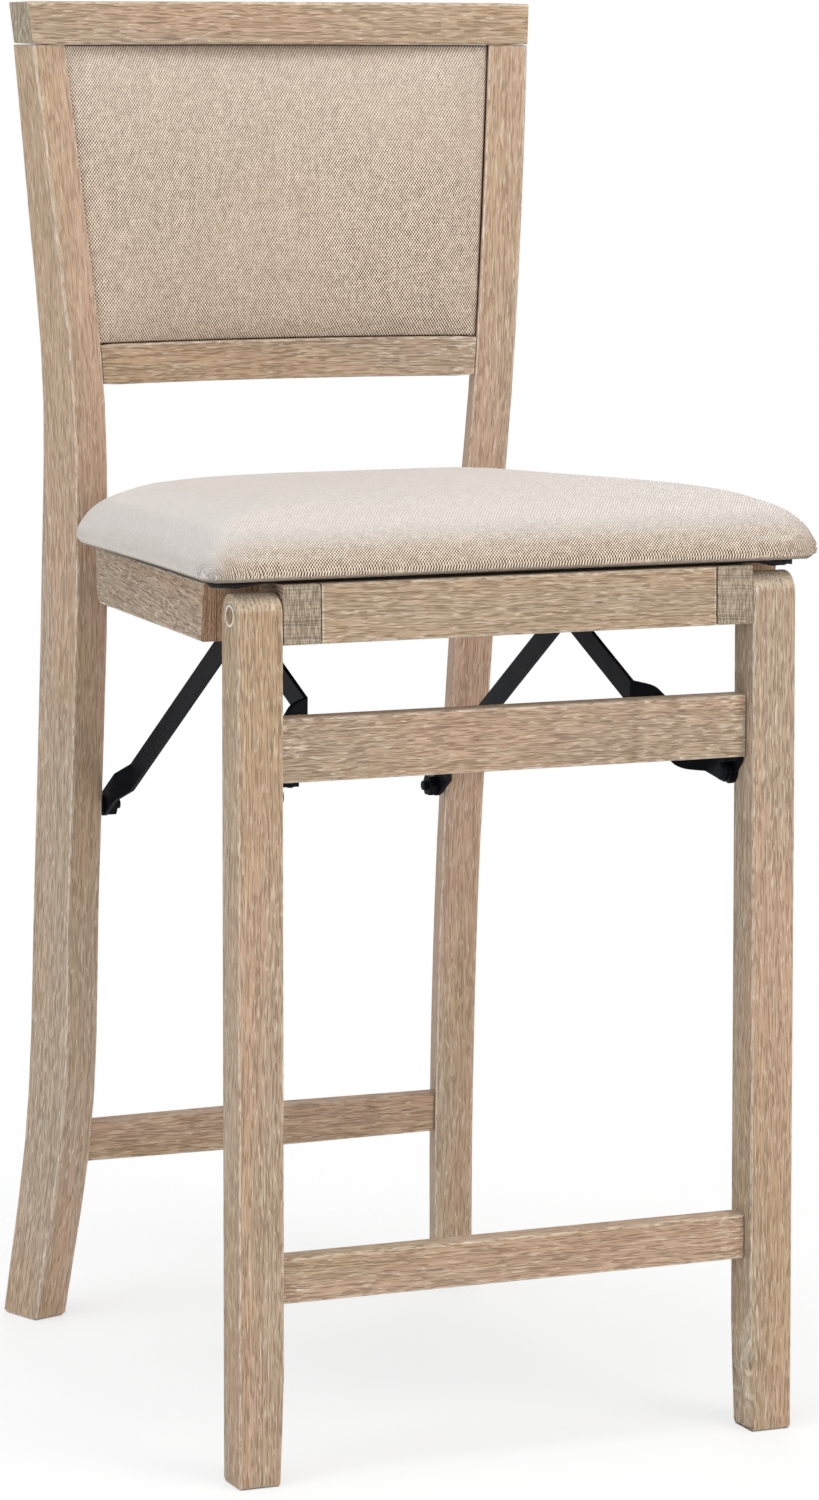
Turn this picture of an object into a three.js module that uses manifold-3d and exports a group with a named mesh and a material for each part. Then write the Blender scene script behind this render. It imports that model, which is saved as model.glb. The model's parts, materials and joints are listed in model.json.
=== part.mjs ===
// A folding counter stool with a curved, padded back and an upholstered seat.
// Millimetres, +Z up. The stool faces -Y, and +X is the viewer's right when looking at its front.
// Y is measured from the front legs' front face, and the finished group is centred at the end.
import * as THREE from "three";
import { mergeVertices } from "three/addons/utils/BufferGeometryUtils.js";
import Module from "manifold-3d";

const wasm = await Module();
wasm.setup();

// Overall sizes: the back's rise is from the leg pivots' axis to its top
const backRise = 397;
const glueLine = 0.3;
const turningGap = 0.5;
const boreGap = 0.3;
const overrun = 40;
const woodEase = 1.8;
const easeSteps = 2;
const roundSegments = 20;
const sweepSegments = 10;
const steelEase = 0.4;

// Front frame: two legs that lean a little, with their feet ahead of the pivots
const frontHalfWidth = 206.5;
const legWidth = 32.5;
const legDepth = 30;
const legPivotHeight = 583;
const legLean = 12;
const legFootTaper = 3.5;
const upperRailHeight = 43;
const upperRailDrop = 69.5;
const upperRailSetback = 9.8;
const frontRailThickness = 18;
const footrestHeight = 31;
const footrestRise = 121;
const footrestSetback = 8.2;
const footEase = 2.5;

// Back frame: posts turned in plan so that they wrap the curved back
const backTopInset = 7.8;
const postFootSetback = 461.6;
const postWidth = 29.1;
const postDepth = 43.5;
const postTurn = THREE.MathUtils.degToRad(18.6);
const postHeightShares = [0, 0.154, 0.34, 0.48, 0.57, 0.718, 0.855, 1];
const postSpreadShares = [0.9, 0.84, 0.834, 0.839, 0.846, 0.88, 0.939, 1];
const postSetbackShares = [1, 0.945, 0.9225, 0.8935, 0.8755, 0.8556, 0.882, 0.922];
const postDepthShares = [0.88, 0.99, 0.965, 0.98, 0.98, 0.835, 0.69, 0.52];
const postSteps = 22;
const bowSteps = 24;
const crestHeight = 31;
const crestThickness = 23;
const crestBow = 26.5;
const lowerRailHeight = 29.4;
const lowerRailThickness = 22;
const lowerRailBow = 16.7;
const rearStretcherRise = 119.6;
const rearStretcherHeight = 31.4;
const rearStretcherThickness = 20;
const rearStretcherSetback = 2;

// Back pad, in the opening between the lower back rail and the crest rail
const padOpening = 216;
const padGap = 0.4;
const padEdgeThickness = 15;
const padFrontSwell = 9;
const padRearSwell = 2;
const padEdgeRecess = 3.5;
const padSquareness = 6;
const padStepsAcross = 20;
const padStepsUp = 14;

// Seat frame: it slopes down to the rear and is measured from the leg pivots' axis
const seatSlope = THREE.MathUtils.degToRad(2.1);
const seatRailHeight = 40.2;
const seatRailFrontThickness = 27;
const seatRailTaper = 7;
const seatRailOverhang = 7.1;
const seatRailRearThickness = 26.6;
const seatRailRearY = 354;
const seatRailRearRadius = 14;
const legNotchY = 27;
const legNotchSlant = 10;
const apronSetback = 1.3;
const apronThickness = 22;
const rearApronHeight = 36;
const rearApronInset = 6;
const frontBlockSide = 20;
const rearBlockSide = 30;
const cornerBlockHeight = 28;
const cornerBlockNoseShare = 0.333;

// Seat board, dust cover and cushion
const dustCoverThickness = 1;
const seatBoardThickness = 9;
const seatBoardInset = 19;
const dustCoverInset = 26;
const cushionFrontOverhang = 26;
const cushionRearOverhang = 18.4;
const cushionNoseOverhang = 6.3;
const cushionBackOverhang = 11;
const cushionCornerRadius = 30;
const cushionSkirt = 2;
const cushionRise = 78;
const cushionSideDraw = 3;
const cushionSteps = 6;
// The cushion's rings from the skirt over the crown: how far each is drawn in and how high it lies
const cushionInsetShares = [0.05, 0.02, 0, 0.014, 0.052, 0.114, 0.218, 0.363, 0.56, 0.8];
const cushionRiseShares = [0, 0.08, 0.24, 0.4, 0.56, 0.69, 0.8, 0.885, 0.95, 1];

// Folding braces: flat steel straps. The pivots' places are those at rest: the seat pivot is above the leg
// pivots' axis, the post pivot below the seat pivot, and the bracket pivot below the upper front rail.
const strapWidth = 16.6;
const strapThickness = 3;
const rearBraceStandoff = 15;
const rearBraceJoggleSetback = 37.1;
const rearBraceJoggleLength = 13;
const seatPivotY = 146.9;
const seatPivotRise = 3.7;
const postPivotDrop = 195.7;
const postPivotInset = 7.3;
const postCollarLength = 2;
const apexSetback = 195.3;
const frontBraceGap = 0.6;
const frontBraceJoggleY = 57;
const frontBraceJoggleLength = 26;
const bracketPivotY = 29;
const bracketPivotDrop = 11.7;
const braceHeelRun = 31.8;
const braceHeelRise = 4;
const braceKneeRun = 53.3;
const braceKneeRise = 47.9;

// Steel fittings
const pivotRadius = 3.6;
const collarRadius = 7;
const headRadius = 8;
const headHeight = 3.6;
const nutRadius = 8.4;
const nutHeight = 6.5;
const nutSides = 6;
const postBoltDepth = 24;
const bracketThickness = 2.8;
const bracketTabRadius = 9.6;
const bracketFlangeWidth = 26;
const bracketFlangeFront = 4;
const bracketEarRear = 13;
const legBoltHeadDepth = 12;
const legBoltHeadRadius = 7.5;
const legBoltHeadHeight = 4;
const plugRadius = 7.5;
const plugThickness = 7;
const legInsertRadius = 6;
const legInsertEnd = 3;
const seatRestThickness = 2.5;
const seatRestWidth = 12;
const seatRestDrop = 9;

// Materials
const paint = (color, roughness, metalness) =>
  new THREE.MeshStandardMaterial({ color, roughness, metalness });
const brushedWood = () => paint("#b09878", 0.62, 0);
const blackSteel = () => paint("#1d1f24", 0.45, 0.7);
const linen = () => paint("#d0bfab", 0.92, 0);
const brass = () => paint("#b08d4f", 0.4, 0.9);
const plywood = () => paint("#b89a6c", 0.8, 0);
const underlining = () => paint("#151515", 0.95, 0);

// Closed solids and their unions and cuts
function solidOf(geometry) {
  const bare = geometry.index ? geometry.toNonIndexed() : geometry;
  const plain = new THREE.BufferGeometry().setAttribute("position", bare.getAttribute("position"));
  const merged = mergeVertices(plain);
  const vertProperties = new Float32Array(merged.attributes.position.array);
  const triVerts = new Uint32Array(merged.index.array);
  const made = new wasm.Manifold(new wasm.Mesh({ numProp: 3, vertProperties, triVerts }));
  if (made.volume() > 0) return made;
  for (let i = 0; i < triVerts.length; i += 3) {
    [triVerts[i + 1], triVerts[i + 2]] = [triVerts[i + 2], triVerts[i + 1]];
  }
  return new wasm.Manifold(new wasm.Mesh({ numProp: 3, vertProperties, triVerts }));
}

function meshOf(name, solid, material) {
  const made = solid.getMesh();
  const geometry = new THREE.BufferGeometry();
  geometry.setAttribute("position", new THREE.BufferAttribute(made.vertProperties, made.numProp));
  geometry.setIndex(new THREE.BufferAttribute(made.triVerts, 1));
  geometry.computeVertexNormals();
  const mesh = new THREE.Mesh(geometry, material);
  mesh.name = name;
  return mesh;
}

// A skin through rings of as many points each, closed by a flat fan at both ends
function loft(rings) {
  const places = [];
  const face = (...points) => points.forEach((point) => places.push(point.x, point.y, point.z));
  const count = rings[0].length;
  for (let r = 0; r + 1 < rings.length; r++) {
    for (let i = 0; i < count; i++) {
      const j = (i + 1) % count;
      face(rings[r][i], rings[r][j], rings[r + 1][j]);
      face(rings[r][i], rings[r + 1][j], rings[r + 1][i]);
    }
  }
  const last = rings[rings.length - 1];
  for (let i = 1; i + 1 < count; i++) {
    face(rings[0][0], rings[0][i + 1], rings[0][i]);
    face(last[0], last[i], last[i + 1]);
  }
  const geometry = new THREE.BufferGeometry();
  geometry.setAttribute("position", new THREE.Float32BufferAttribute(places, 3));
  return solidOf(geometry);
}

// A ring of corners with each corner rounded over by an ease
function easedRing(corners, ease) {
  return corners.flatMap((corner, i) => {
    const before = corners[(i + corners.length - 1) % corners.length];
    const after = corners[(i + 1) % corners.length];
    const start = corner.clone().add(before.clone().sub(corner).setLength(ease));
    const end = corner.clone().add(after.clone().sub(corner).setLength(ease));
    return new THREE.QuadraticBezierCurve3(start, corner, end).getPoints(easeSteps);
  });
}

function drawnIn(ring, amount) {
  const centre = ring.reduce((sum, point) => sum.add(point), new THREE.Vector3()).divideScalar(ring.length);
  return ring.map((point) => point.clone().add(centre.clone().sub(point).setLength(amount)));
}

const polygon = (...points) => new THREE.Shape(points.map(([a, b]) => new THREE.Vector2(a, b)));

// A plank cut to a flat shape, with its outer edges eased
function plank(shape, thickness, ease) {
  const geometry = new THREE.ExtrudeGeometry(shape, {
    depth: thickness - 2 * ease,
    bevelEnabled: ease > 0,
    bevelThickness: ease,
    bevelSize: ease,
    bevelOffset: -ease,
    bevelSegments: easeSteps,
    curveSegments: sweepSegments,
  });
  return geometry.translate(0, 0, ease);
}

// A plank whose shape is drawn in the side view as (Y, Z) and whose thickness runs along +X
const yToX = new THREE.Matrix4().makeBasis(
  new THREE.Vector3(0, 1, 0),
  new THREE.Vector3(0, 0, 1),
  new THREE.Vector3(1, 0, 0),
);
const sideGeometry = (shape, fromX, thickness, ease = 0) =>
  plank(shape, thickness, ease).applyMatrix4(yToX).translate(fromX, 0, 0);
const sidePlank = (...sizes) => solidOf(sideGeometry(...sizes));

// A plank whose shape is drawn in the front view as (X, Z) and whose thickness runs along +Y
const facing = new THREE.Matrix4().makeBasis(
  new THREE.Vector3(1, 0, 0),
  new THREE.Vector3(0, 0, 1),
  new THREE.Vector3(0, -1, 0),
);
const frontGeometry = (shape, fromY, thickness, ease) =>
  plank(shape, thickness, ease).applyMatrix4(facing).translate(0, fromY + thickness, 0);

// A plank whose shape is drawn in plan as (X, Y) and whose thickness runs up
const planPlank = (shape, fromZ, thickness, ease = 0) =>
  solidOf(plank(shape, thickness, ease).translate(0, 0, fromZ));

// A turned piece on an axis along X, from points of (radius, distance from the middle plane)
function turned(side, y, z, ...points) {
  const profile = points.map(([radius, along]) => new THREE.Vector2(radius, along));
  const geometry = new THREE.LatheGeometry(profile, roundSegments);
  return solidOf(geometry.rotateZ((-side * Math.PI) / 2).translate(0, y, z));
}
const rod = (side, y, z, radius, from, to) =>
  turned(side, y, z, [0, from], [radius, from], [radius, to], [0, to]);

const sides = [
  ["left", -1],
  ["right", 1],
];

// Widths and heights that follow from the sizes above
const overallHeight = legPivotHeight + backRise;
const backTopHalfWidth = frontHalfWidth - backTopInset;
const lowerRailRise = overallHeight - crestHeight - padOpening - lowerRailHeight;
const upperRailBottom = legPivotHeight - upperRailDrop - upperRailHeight;
const seatPivotHeight = legPivotHeight + seatPivotRise;
const postPivotHeight = seatPivotHeight - postPivotDrop;
const bracketPivotHeight = upperRailBottom - bracketPivotDrop;

// Post stations, at any height
const postCurve = new THREE.CubicInterpolant(
  postHeightShares.map((share) => share * overallHeight),
  postHeightShares.flatMap((_, i) => [
    postSpreadShares[i] * backTopHalfWidth,
    postSetbackShares[i] * postFootSetback,
    postDepthShares[i] * postDepth,
  ]),
  3,
);
function postAt(height) {
  const [spread, setback, depth] = postCurve.evaluate(height);
  const innerX = spread - postWidth * Math.cos(postTurn);
  const innerY = setback + postWidth * Math.sin(postTurn);
  return { spread, setback, depth, innerX, innerY };
}

const postPivotY = postAt(postPivotHeight).innerY + postPivotInset;

// The direction that runs back through a curved board, from -1 at its left end to 1 at its right end
const backward = (share) => new THREE.Vector3(Math.sin(share * postTurn), Math.cos(share * postTurn), 0);

function backPost(side) {
  const top = overallHeight - crestHeight - glueLine;
  const ringAt = (height) => {
    const { spread, setback, depth, innerX, innerY } = postAt(height);
    const outerFront = new THREE.Vector3(side * spread, setback, height);
    const innerFront = new THREE.Vector3(side * innerX, innerY, height);
    const through = backward(side).multiplyScalar(depth);
    return easedRing(
      [outerFront, innerFront, innerFront.clone().add(through), outerFront.clone().add(through)],
      woodEase,
    );
  };
  const heights = [footEase];
  for (let i = 1; i <= postSteps; i++) heights.push((top * i) / postSteps);
  const rings = heights.map(ringAt);
  const post = loft([drawnIn(ringAt(0), footEase), ...rings]);
  const boltFace = postBoltFace();
  const bore = rod(side, postPivotY, postPivotHeight, pivotRadius + boreGap, boltFace - overrun,
    boltFace + postBoltDepth + boreGap);
  return post.subtract(bore);
}

// Where a brace bolt's collar meets the turned inner face of its post
function postBoltFace() {
  const { innerX, innerY } = postAt(postPivotHeight);
  return innerX + (postPivotY - collarRadius - innerY) * Math.tan(postTurn) - glueLine;
}

// A board that runs between or over the posts, bowed back, with its ends in line with the posts' sides
function bowedBoard({ bottom, height, thickness, bow, endAt, ease, steps }) {
  const rings = [];
  for (let i = 0; i <= steps; i++) {
    const share = (2 * i) / steps - 1;
    const cornersAt = (level) => {
      const end = endAt(level);
      const front = new THREE.Vector3(share * end.x, end.y + bow * (1 - share * share), level);
      return [front, front.clone().add(backward(share).multiplyScalar(thickness))];
    };
    const [lowFront, lowRear] = cornersAt(bottom);
    const [highFront, highRear] = cornersAt(bottom + height);
    rings.push(easedRing([lowFront, lowRear, highRear, highFront], ease));
  }
  return loft([drawnIn(rings[0], ease / 2), ...rings.slice(1, -1), drawnIn(rings[steps], ease / 2)]);
}

const overPosts = (level) => {
  const { spread, setback } = postAt(level);
  return { x: spread, y: setback };
};
const betweenPosts = (gap, setback) => (level) => {
  const { innerX, innerY } = postAt(level);
  return { x: innerX - gap + setback * Math.tan(postTurn), y: innerY + setback };
};

const crestRail = () =>
  bowedBoard({
    bottom: overallHeight - crestHeight,
    height: crestHeight,
    thickness: crestThickness,
    bow: crestBow,
    endAt: overPosts,
    ease: woodEase,
    steps: bowSteps,
  });
const lowerBackRail = () =>
  bowedBoard({
    bottom: lowerRailRise,
    height: lowerRailHeight,
    thickness: lowerRailThickness,
    bow: lowerRailBow,
    endAt: betweenPosts(glueLine, 0),
    ease: woodEase,
    steps: bowSteps,
  });
const rearStretcher = () =>
  bowedBoard({
    bottom: rearStretcherRise,
    height: rearStretcherHeight,
    thickness: rearStretcherThickness,
    bow: 0,
    endAt: betweenPosts(glueLine, rearStretcherSetback),
    ease: woodEase,
    steps: 2,
  });

// The back pad: one closed panel between the posts, crowned at the front and drawn in at its edges
function backPad() {
  const bottom = lowerRailRise + lowerRailHeight + padGap;
  const top = overallHeight - crestHeight - padGap;
  const swell = (share) => Math.sqrt(Math.max(0, 1 - share ** padSquareness));
  const pointAt = (i, j, front) => {
    const share = (2 * i) / padStepsAcross - 1;
    const riseShare = j / padStepsUp;
    const level = bottom + (top - bottom) * riseShare;
    const end = betweenPosts(padGap, 0)(level);
    const bow = lowerRailBow + (crestBow - lowerRailBow) * riseShare;
    const middle = new THREE.Vector3(share * end.x, end.y + bow * (1 - share * share), level);
    const crown = swell(share) * swell(2 * riseShare - 1);
    const depth = front
      ? padEdgeRecess - (padFrontSwell + padEdgeRecess) * crown
      : padEdgeRecess + padEdgeThickness + padRearSwell * crown;
    return middle.add(backward(share).multiplyScalar(depth));
  };
  const rings = [];
  for (let i = 0; i <= padStepsAcross; i++) {
    const front = [];
    const rear = [];
    for (let j = 0; j <= padStepsUp; j++) {
      front.push(pointAt(i, j, true));
      rear.unshift(pointAt(i, j, false));
    }
    rings.push([...front, ...rear]);
  }
  return loft(rings);
}

// Front frame
const leanAt = (height) => ((height - legPivotHeight) * legLean) / legPivotHeight;
const leaning = new THREE.Matrix4().set(
  1, 0, 0, 0,
  0, 1, legLean / legPivotHeight, -legLean,
  0, 0, 1, 0,
  0, 0, 0, 1,
);
const legPivotY = legDepth / 2;
const legInnerX = frontHalfWidth - legWidth;
const seatRailFrontX = legInnerX - seatRailFrontThickness;
const seatRailRearX = seatRailFrontX - seatRailTaper;
const seatRailFrontOuterX = frontHalfWidth + seatRailOverhang;
const seatRailRearOuterX = seatRailRearX + seatRailRearThickness;

function frontLeg(side) {
  const outline = new THREE.Shape();
  outline.moveTo(footEase, 0);
  outline.lineTo(legDepth - footEase, 0);
  outline.lineTo(legDepth, footEase);
  outline.lineTo(legDepth, legPivotHeight);
  outline.absarc(legPivotY, legPivotHeight, legDepth / 2, 0, Math.PI, false);
  outline.lineTo(0, footEase);
  const fromX = side > 0 ? legInnerX : -frontHalfWidth;
  const upright = sideGeometry(outline, fromX, legWidth, woodEase).applyMatrix4(leaning);
  const taper = frontGeometry(
    polygon(
      [0, 0],
      [legFootTaper, 0],
      [0, footrestRise - footrestHeight],
      [-overrun, footrestRise],
      [-overrun, 0],
    ),
    -overrun,
    legDepth + 2 * overrun,
    0,
  );
  const mirrored = new THREE.Matrix4().makeScale(side, 1, 1);
  const taperCut = solidOf(taper.translate(legInnerX, 0, 0).applyMatrix4(mirrored));
  const boreRadius = pivotRadius + boreGap;
  const headFloor = frontHalfWidth - legBoltHeadDepth;
  const bore = turned(side, legPivotY, legPivotHeight,
    [0, legInnerX - overrun], [boreRadius, legInnerX - overrun], [boreRadius, headFloor],
    [legBoltHeadRadius + boreGap, headFloor], [legBoltHeadRadius + boreGap, frontHalfWidth + overrun],
    [0, frontHalfWidth + overrun]);
  return solidOf(upright).subtract(taperCut).subtract(bore);
}

function frontRail(bottom, height, setback) {
  const half = legInnerX - glueLine;
  const shape = polygon([-half, bottom], [half, bottom], [half, bottom + height], [-half, bottom + height]);
  return solidOf(frontGeometry(shape, setback, frontRailThickness, woodEase).applyMatrix4(leaning));
}
const legPivotBolt = (side) =>
  turned(side, legPivotY, legPivotHeight,
    [0, seatRailFrontX + legInsertEnd],
    [pivotRadius, seatRailFrontX + legInsertEnd],
    [pivotRadius, frontHalfWidth - legBoltHeadDepth + glueLine],
    [legBoltHeadRadius, frontHalfWidth - legBoltHeadDepth + glueLine],
    [legBoltHeadRadius, frontHalfWidth - legBoltHeadDepth + glueLine + legBoltHeadHeight],
    [0, frontHalfWidth - legBoltHeadDepth + glueLine + legBoltHeadHeight]);
const legPlug = (side) =>
  rod(side, legPivotY, legPivotHeight, plugRadius, frontHalfWidth - plugThickness, frontHalfWidth);

// The angle bracket under the upper front rail, with its rounded ear beside the leg
const bracketTabX = legInnerX - glueLine - bracketThickness;
function braceBracket(side) {
  const top = upperRailBottom - glueLine;
  const railFront = upperRailSetback + leanAt(upperRailBottom);
  const front = railFront + bracketFlangeFront;
  const flangeRear = railFront + frontRailThickness;
  const rear = flangeRear + bracketEarRear;
  const ear = new THREE.Shape();
  ear.moveTo(front, top);
  ear.lineTo(front, top - bracketThickness);
  ear.absarc(bracketPivotY, bracketPivotHeight, bracketTabRadius, Math.PI, 2 * Math.PI, false);
  ear.lineTo(rear, top - bracketThickness);
  ear.lineTo(rear, top);
  const flange = polygon(
    [front, top],
    [front, top - bracketThickness],
    [flangeRear, top - bracketThickness],
    [flangeRear, top],
  );
  const tabX = side > 0 ? bracketTabX : -bracketTabX - bracketThickness;
  const flangeX = side > 0 ? bracketTabX - bracketFlangeWidth : -bracketTabX;
  return sidePlank(ear, tabX, bracketThickness, 0)
    .add(sidePlank(flange, flangeX, bracketFlangeWidth, 0))
    .subtract(rod(side, bracketPivotY, bracketPivotHeight, pivotRadius + boreGap,
      bracketTabX - overrun, bracketTabX + overrun));
}
const bracketPin = (side) =>
  turned(side, bracketPivotY, bracketPivotHeight,
    [0, frontBraceFootX - turningGap - headHeight],
    [headRadius - headHeight / 2, frontBraceFootX - turningGap - headHeight],
    [headRadius, frontBraceFootX - turningGap],
    [pivotRadius, frontBraceFootX - turningGap],
    [pivotRadius, bracketTabX + bracketThickness],
    [0, bracketTabX + bracketThickness]);

// Braces. A strap is where two outlines meet: the one seen from the side, and its joggles seen from above.
function strap(side, route, bends) {
  const half = strapWidth / 2;
  const reach = frontHalfWidth;
  const fromX = side > 0 ? 0 : -reach;
  let outline = null;
  for (let i = 0; i + 1 < route.length; i++) {
    const [y0, z0] = route[i];
    const [y1, z1] = route[i + 1];
    const heading = Math.atan2(z1 - z0, y1 - y0);
    const run = new THREE.Shape();
    run.absarc(y0, z0, half, heading + Math.PI / 2, heading + (3 * Math.PI) / 2, false);
    run.absarc(y1, z1, half, heading - Math.PI / 2, heading + Math.PI / 2, false);
    const piece = sidePlank(run, fromX, reach);
    outline = outline ? outline.add(piece) : piece;
  }
  const lowest = Math.min(...route.map(([, z]) => z)) - strapWidth;
  const highest = Math.max(...route.map(([, z]) => z)) + strapWidth;
  const plan = new THREE.Shape();
  const near = bends.map(([x, y]) => [side * x, y]);
  const far = bends.map(([x, y], i) => {
    const [beforeX, beforeY] = bends[Math.max(0, i - 1)];
    const [afterX, afterY] = bends[Math.min(bends.length - 1, i + 1)];
    const slope = Math.atan2(afterX - beforeX, afterY - beforeY);
    return [side * (x + strapThickness), y - strapThickness * Math.tan(slope / 2)];
  });
  [...near, ...far.reverse()].forEach(([x, y], i) => (i ? plan.lineTo(x, y) : plan.moveTo(x, y)));
  const joggled = planPlank(plan, lowest, highest - lowest);
  return outline.intersect(joggled);
}

const rearBraceX = seatRailRearX - rearBraceStandoff;
const rearBraceFootX = postBoltFace() - postCollarLength - glueLine - strapThickness;
const rearBraceJoggleY = postPivotY - rearBraceJoggleSetback;
const frontBraceFootX = bracketTabX - turningGap - strapThickness;
const braceHeelY = bracketPivotY + braceHeelRun;
const braceKneeY = bracketPivotY + braceKneeRun;
const braceSlope = (seatPivotHeight - postPivotHeight) / (postPivotY - seatPivotY);
const apexHeight = seatPivotHeight - (apexSetback - seatPivotY) * braceSlope;
const frontBraceX = rearBraceX - frontBraceGap - strapThickness;

function rearBrace(side) {
  const body = strap(
    side,
    [[seatPivotY, seatPivotHeight], [postPivotY, postPivotHeight]],
    [
      [rearBraceX, seatPivotY - strapWidth],
      [rearBraceX, rearBraceJoggleY],
      [rearBraceFootX, rearBraceJoggleY + rearBraceJoggleLength],
      [rearBraceFootX, postPivotY + strapWidth],
    ],
  );
  const hole = (y, z) => rod(side, y, z, pivotRadius + boreGap, 0, frontHalfWidth);
  const rivetHead = turned(side, apexSetback, apexHeight,
    [0, rearBraceX + strapThickness / 2],
    [collarRadius, rearBraceX + strapThickness / 2],
    [collarRadius, rearBraceX + strapThickness],
    [collarRadius - headHeight / 2, rearBraceX + strapThickness + headHeight / 2],
    [0, rearBraceX + strapThickness + headHeight / 2]);
  return body
    .subtract(hole(seatPivotY, seatPivotHeight))
    .subtract(hole(postPivotY, postPivotHeight))
    .add(rivetHead);
}

function frontBrace(side) {
  const body = strap(
    side,
    [
      [bracketPivotY, bracketPivotHeight],
      [braceHeelY, bracketPivotHeight + braceHeelRise],
      [braceKneeY, bracketPivotHeight + braceKneeRise],
      [apexSetback, apexHeight],
    ],
    [
      [frontBraceFootX, bracketPivotY - strapWidth],
      [frontBraceFootX, frontBraceJoggleY],
      [frontBraceX, frontBraceJoggleY + frontBraceJoggleLength],
      [frontBraceX, apexSetback + strapWidth],
    ],
  );
  const hole = (y, z) => rod(side, y, z, pivotRadius + boreGap, 0, frontHalfWidth);
  return body.subtract(hole(bracketPivotY, bracketPivotHeight)).subtract(hole(apexSetback, apexHeight));
}

const apexRivet = (side) =>
  turned(side, apexSetback, apexHeight,
    [0, frontBraceX - glueLine - headHeight],
    [headRadius - headHeight / 2, frontBraceX - glueLine - headHeight],
    [headRadius, frontBraceX - glueLine],
    [pivotRadius, frontBraceX - glueLine],
    [pivotRadius, frontBraceX + strapThickness],
    [0, frontBraceX + strapThickness]);

const postPivotBolt = (side) =>
  turned(side, postPivotY, postPivotHeight,
    [0, rearBraceFootX - glueLine - nutHeight - headHeight],
    [pivotRadius, rearBraceFootX - glueLine - nutHeight - headHeight],
    [pivotRadius, rearBraceFootX + strapThickness + glueLine],
    [collarRadius, rearBraceFootX + strapThickness + glueLine],
    [collarRadius, postBoltFace()],
    [pivotRadius, postBoltFace()],
    [pivotRadius, postBoltFace() + postBoltDepth],
    [0, postBoltFace() + postBoltDepth]);

function hexNut(side, y, z, from, height) {
  const shape = new THREE.Shape();
  for (let i = 0; i < nutSides; i++) {
    const angle = (i * 2 * Math.PI) / nutSides;
    const corner = [y + nutRadius * Math.cos(angle), z + nutRadius * Math.sin(angle)];
    if (i) shape.lineTo(...corner);
    else shape.moveTo(...corner);
  }
  const fromX = side > 0 ? from : -from - height;
  return sidePlank(shape, fromX, height, steelEase).subtract(
    rod(side, y, z, pivotRadius + boreGap / 2, 0, frontHalfWidth),
  );
}

// The angle on each post that the seat's rear end rests on
function seatRest(side) {
  const railY = legPivotY + seatRailRearY;
  const top = seatUnderside(railY) - glueLine;
  const { innerY } = postAt(top - seatRestDrop);
  const reach = railY - seatRestWidth;
  const rear = innerY + strapWidth;
  const faceX = (level, y) => postAt(level).innerX + (y - postAt(level).innerY) * Math.tan(postTurn);
  const slantX = (y) => Math.min(faceX(top, y), faceX(top - seatRestDrop, y)) - glueLine;
  const shelf = planPlank(
    polygon(
      [side * slantX(rear), rear],
      [side * (slantX(rear) - seatRestThickness), rear],
      [side * (slantX(innerY) - seatRestThickness), innerY],
      [side * (slantX(innerY) - seatRestThickness), reach],
      [side * (slantX(innerY) + seatRestWidth), reach],
      [side * (slantX(innerY) + seatRestWidth), railY],
      [side * slantX(innerY), railY + seatRestThickness],
      [side * slantX(innerY), innerY],
    ),
    top - seatRestThickness,
    seatRestThickness,
  );
  const cheek = planPlank(
    polygon(
      [side * slantX(rear), rear],
      [side * (slantX(rear) - seatRestThickness), rear],
      [side * (slantX(innerY) - seatRestThickness), innerY],
      [side * (slantX(innerY) - seatRestThickness), reach],
      [side * slantX(innerY), reach],
      [side * slantX(innerY), innerY],
    ),
    top - seatRestDrop,
    seatRestDrop,
  );
  return cheek.add(shelf);
}

// Seat, drawn from the leg pivots' axis with its own slope left out
const seatRailTop = seatRailHeight / 2;
const seatUnderside = (y) =>
  legPivotHeight - (y - legPivotY) * Math.tan(seatSlope) - seatRailTop / Math.cos(seatSlope);
const apronFrontY = apronSetback - legPivotY;
const cushionFrontY = apronFrontY - cushionNoseOverhang;
const cushionRearY = seatRailRearY + cushionBackOverhang;
const cushionFrontHalfWidth = frontHalfWidth + cushionFrontOverhang;
const cushionRearHalfWidth = seatRailRearOuterX + cushionRearOverhang;
const railShare = (y) => (y - apronFrontY) / (seatRailRearY - apronFrontY);
const railInnerX = (y) => seatRailFrontX + (seatRailRearX - seatRailFrontX) * railShare(y);
const seatPivotDrop = seatPivotHeight - legPivotHeight;
const seatPivotRun = seatPivotY - legPivotY;
const seatPivotLocalY = seatPivotRun * Math.cos(seatSlope) - seatPivotDrop * Math.sin(seatSlope);
const seatPivotLocalZ = seatPivotDrop * Math.cos(seatSlope) + seatPivotRun * Math.sin(seatSlope);

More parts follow.
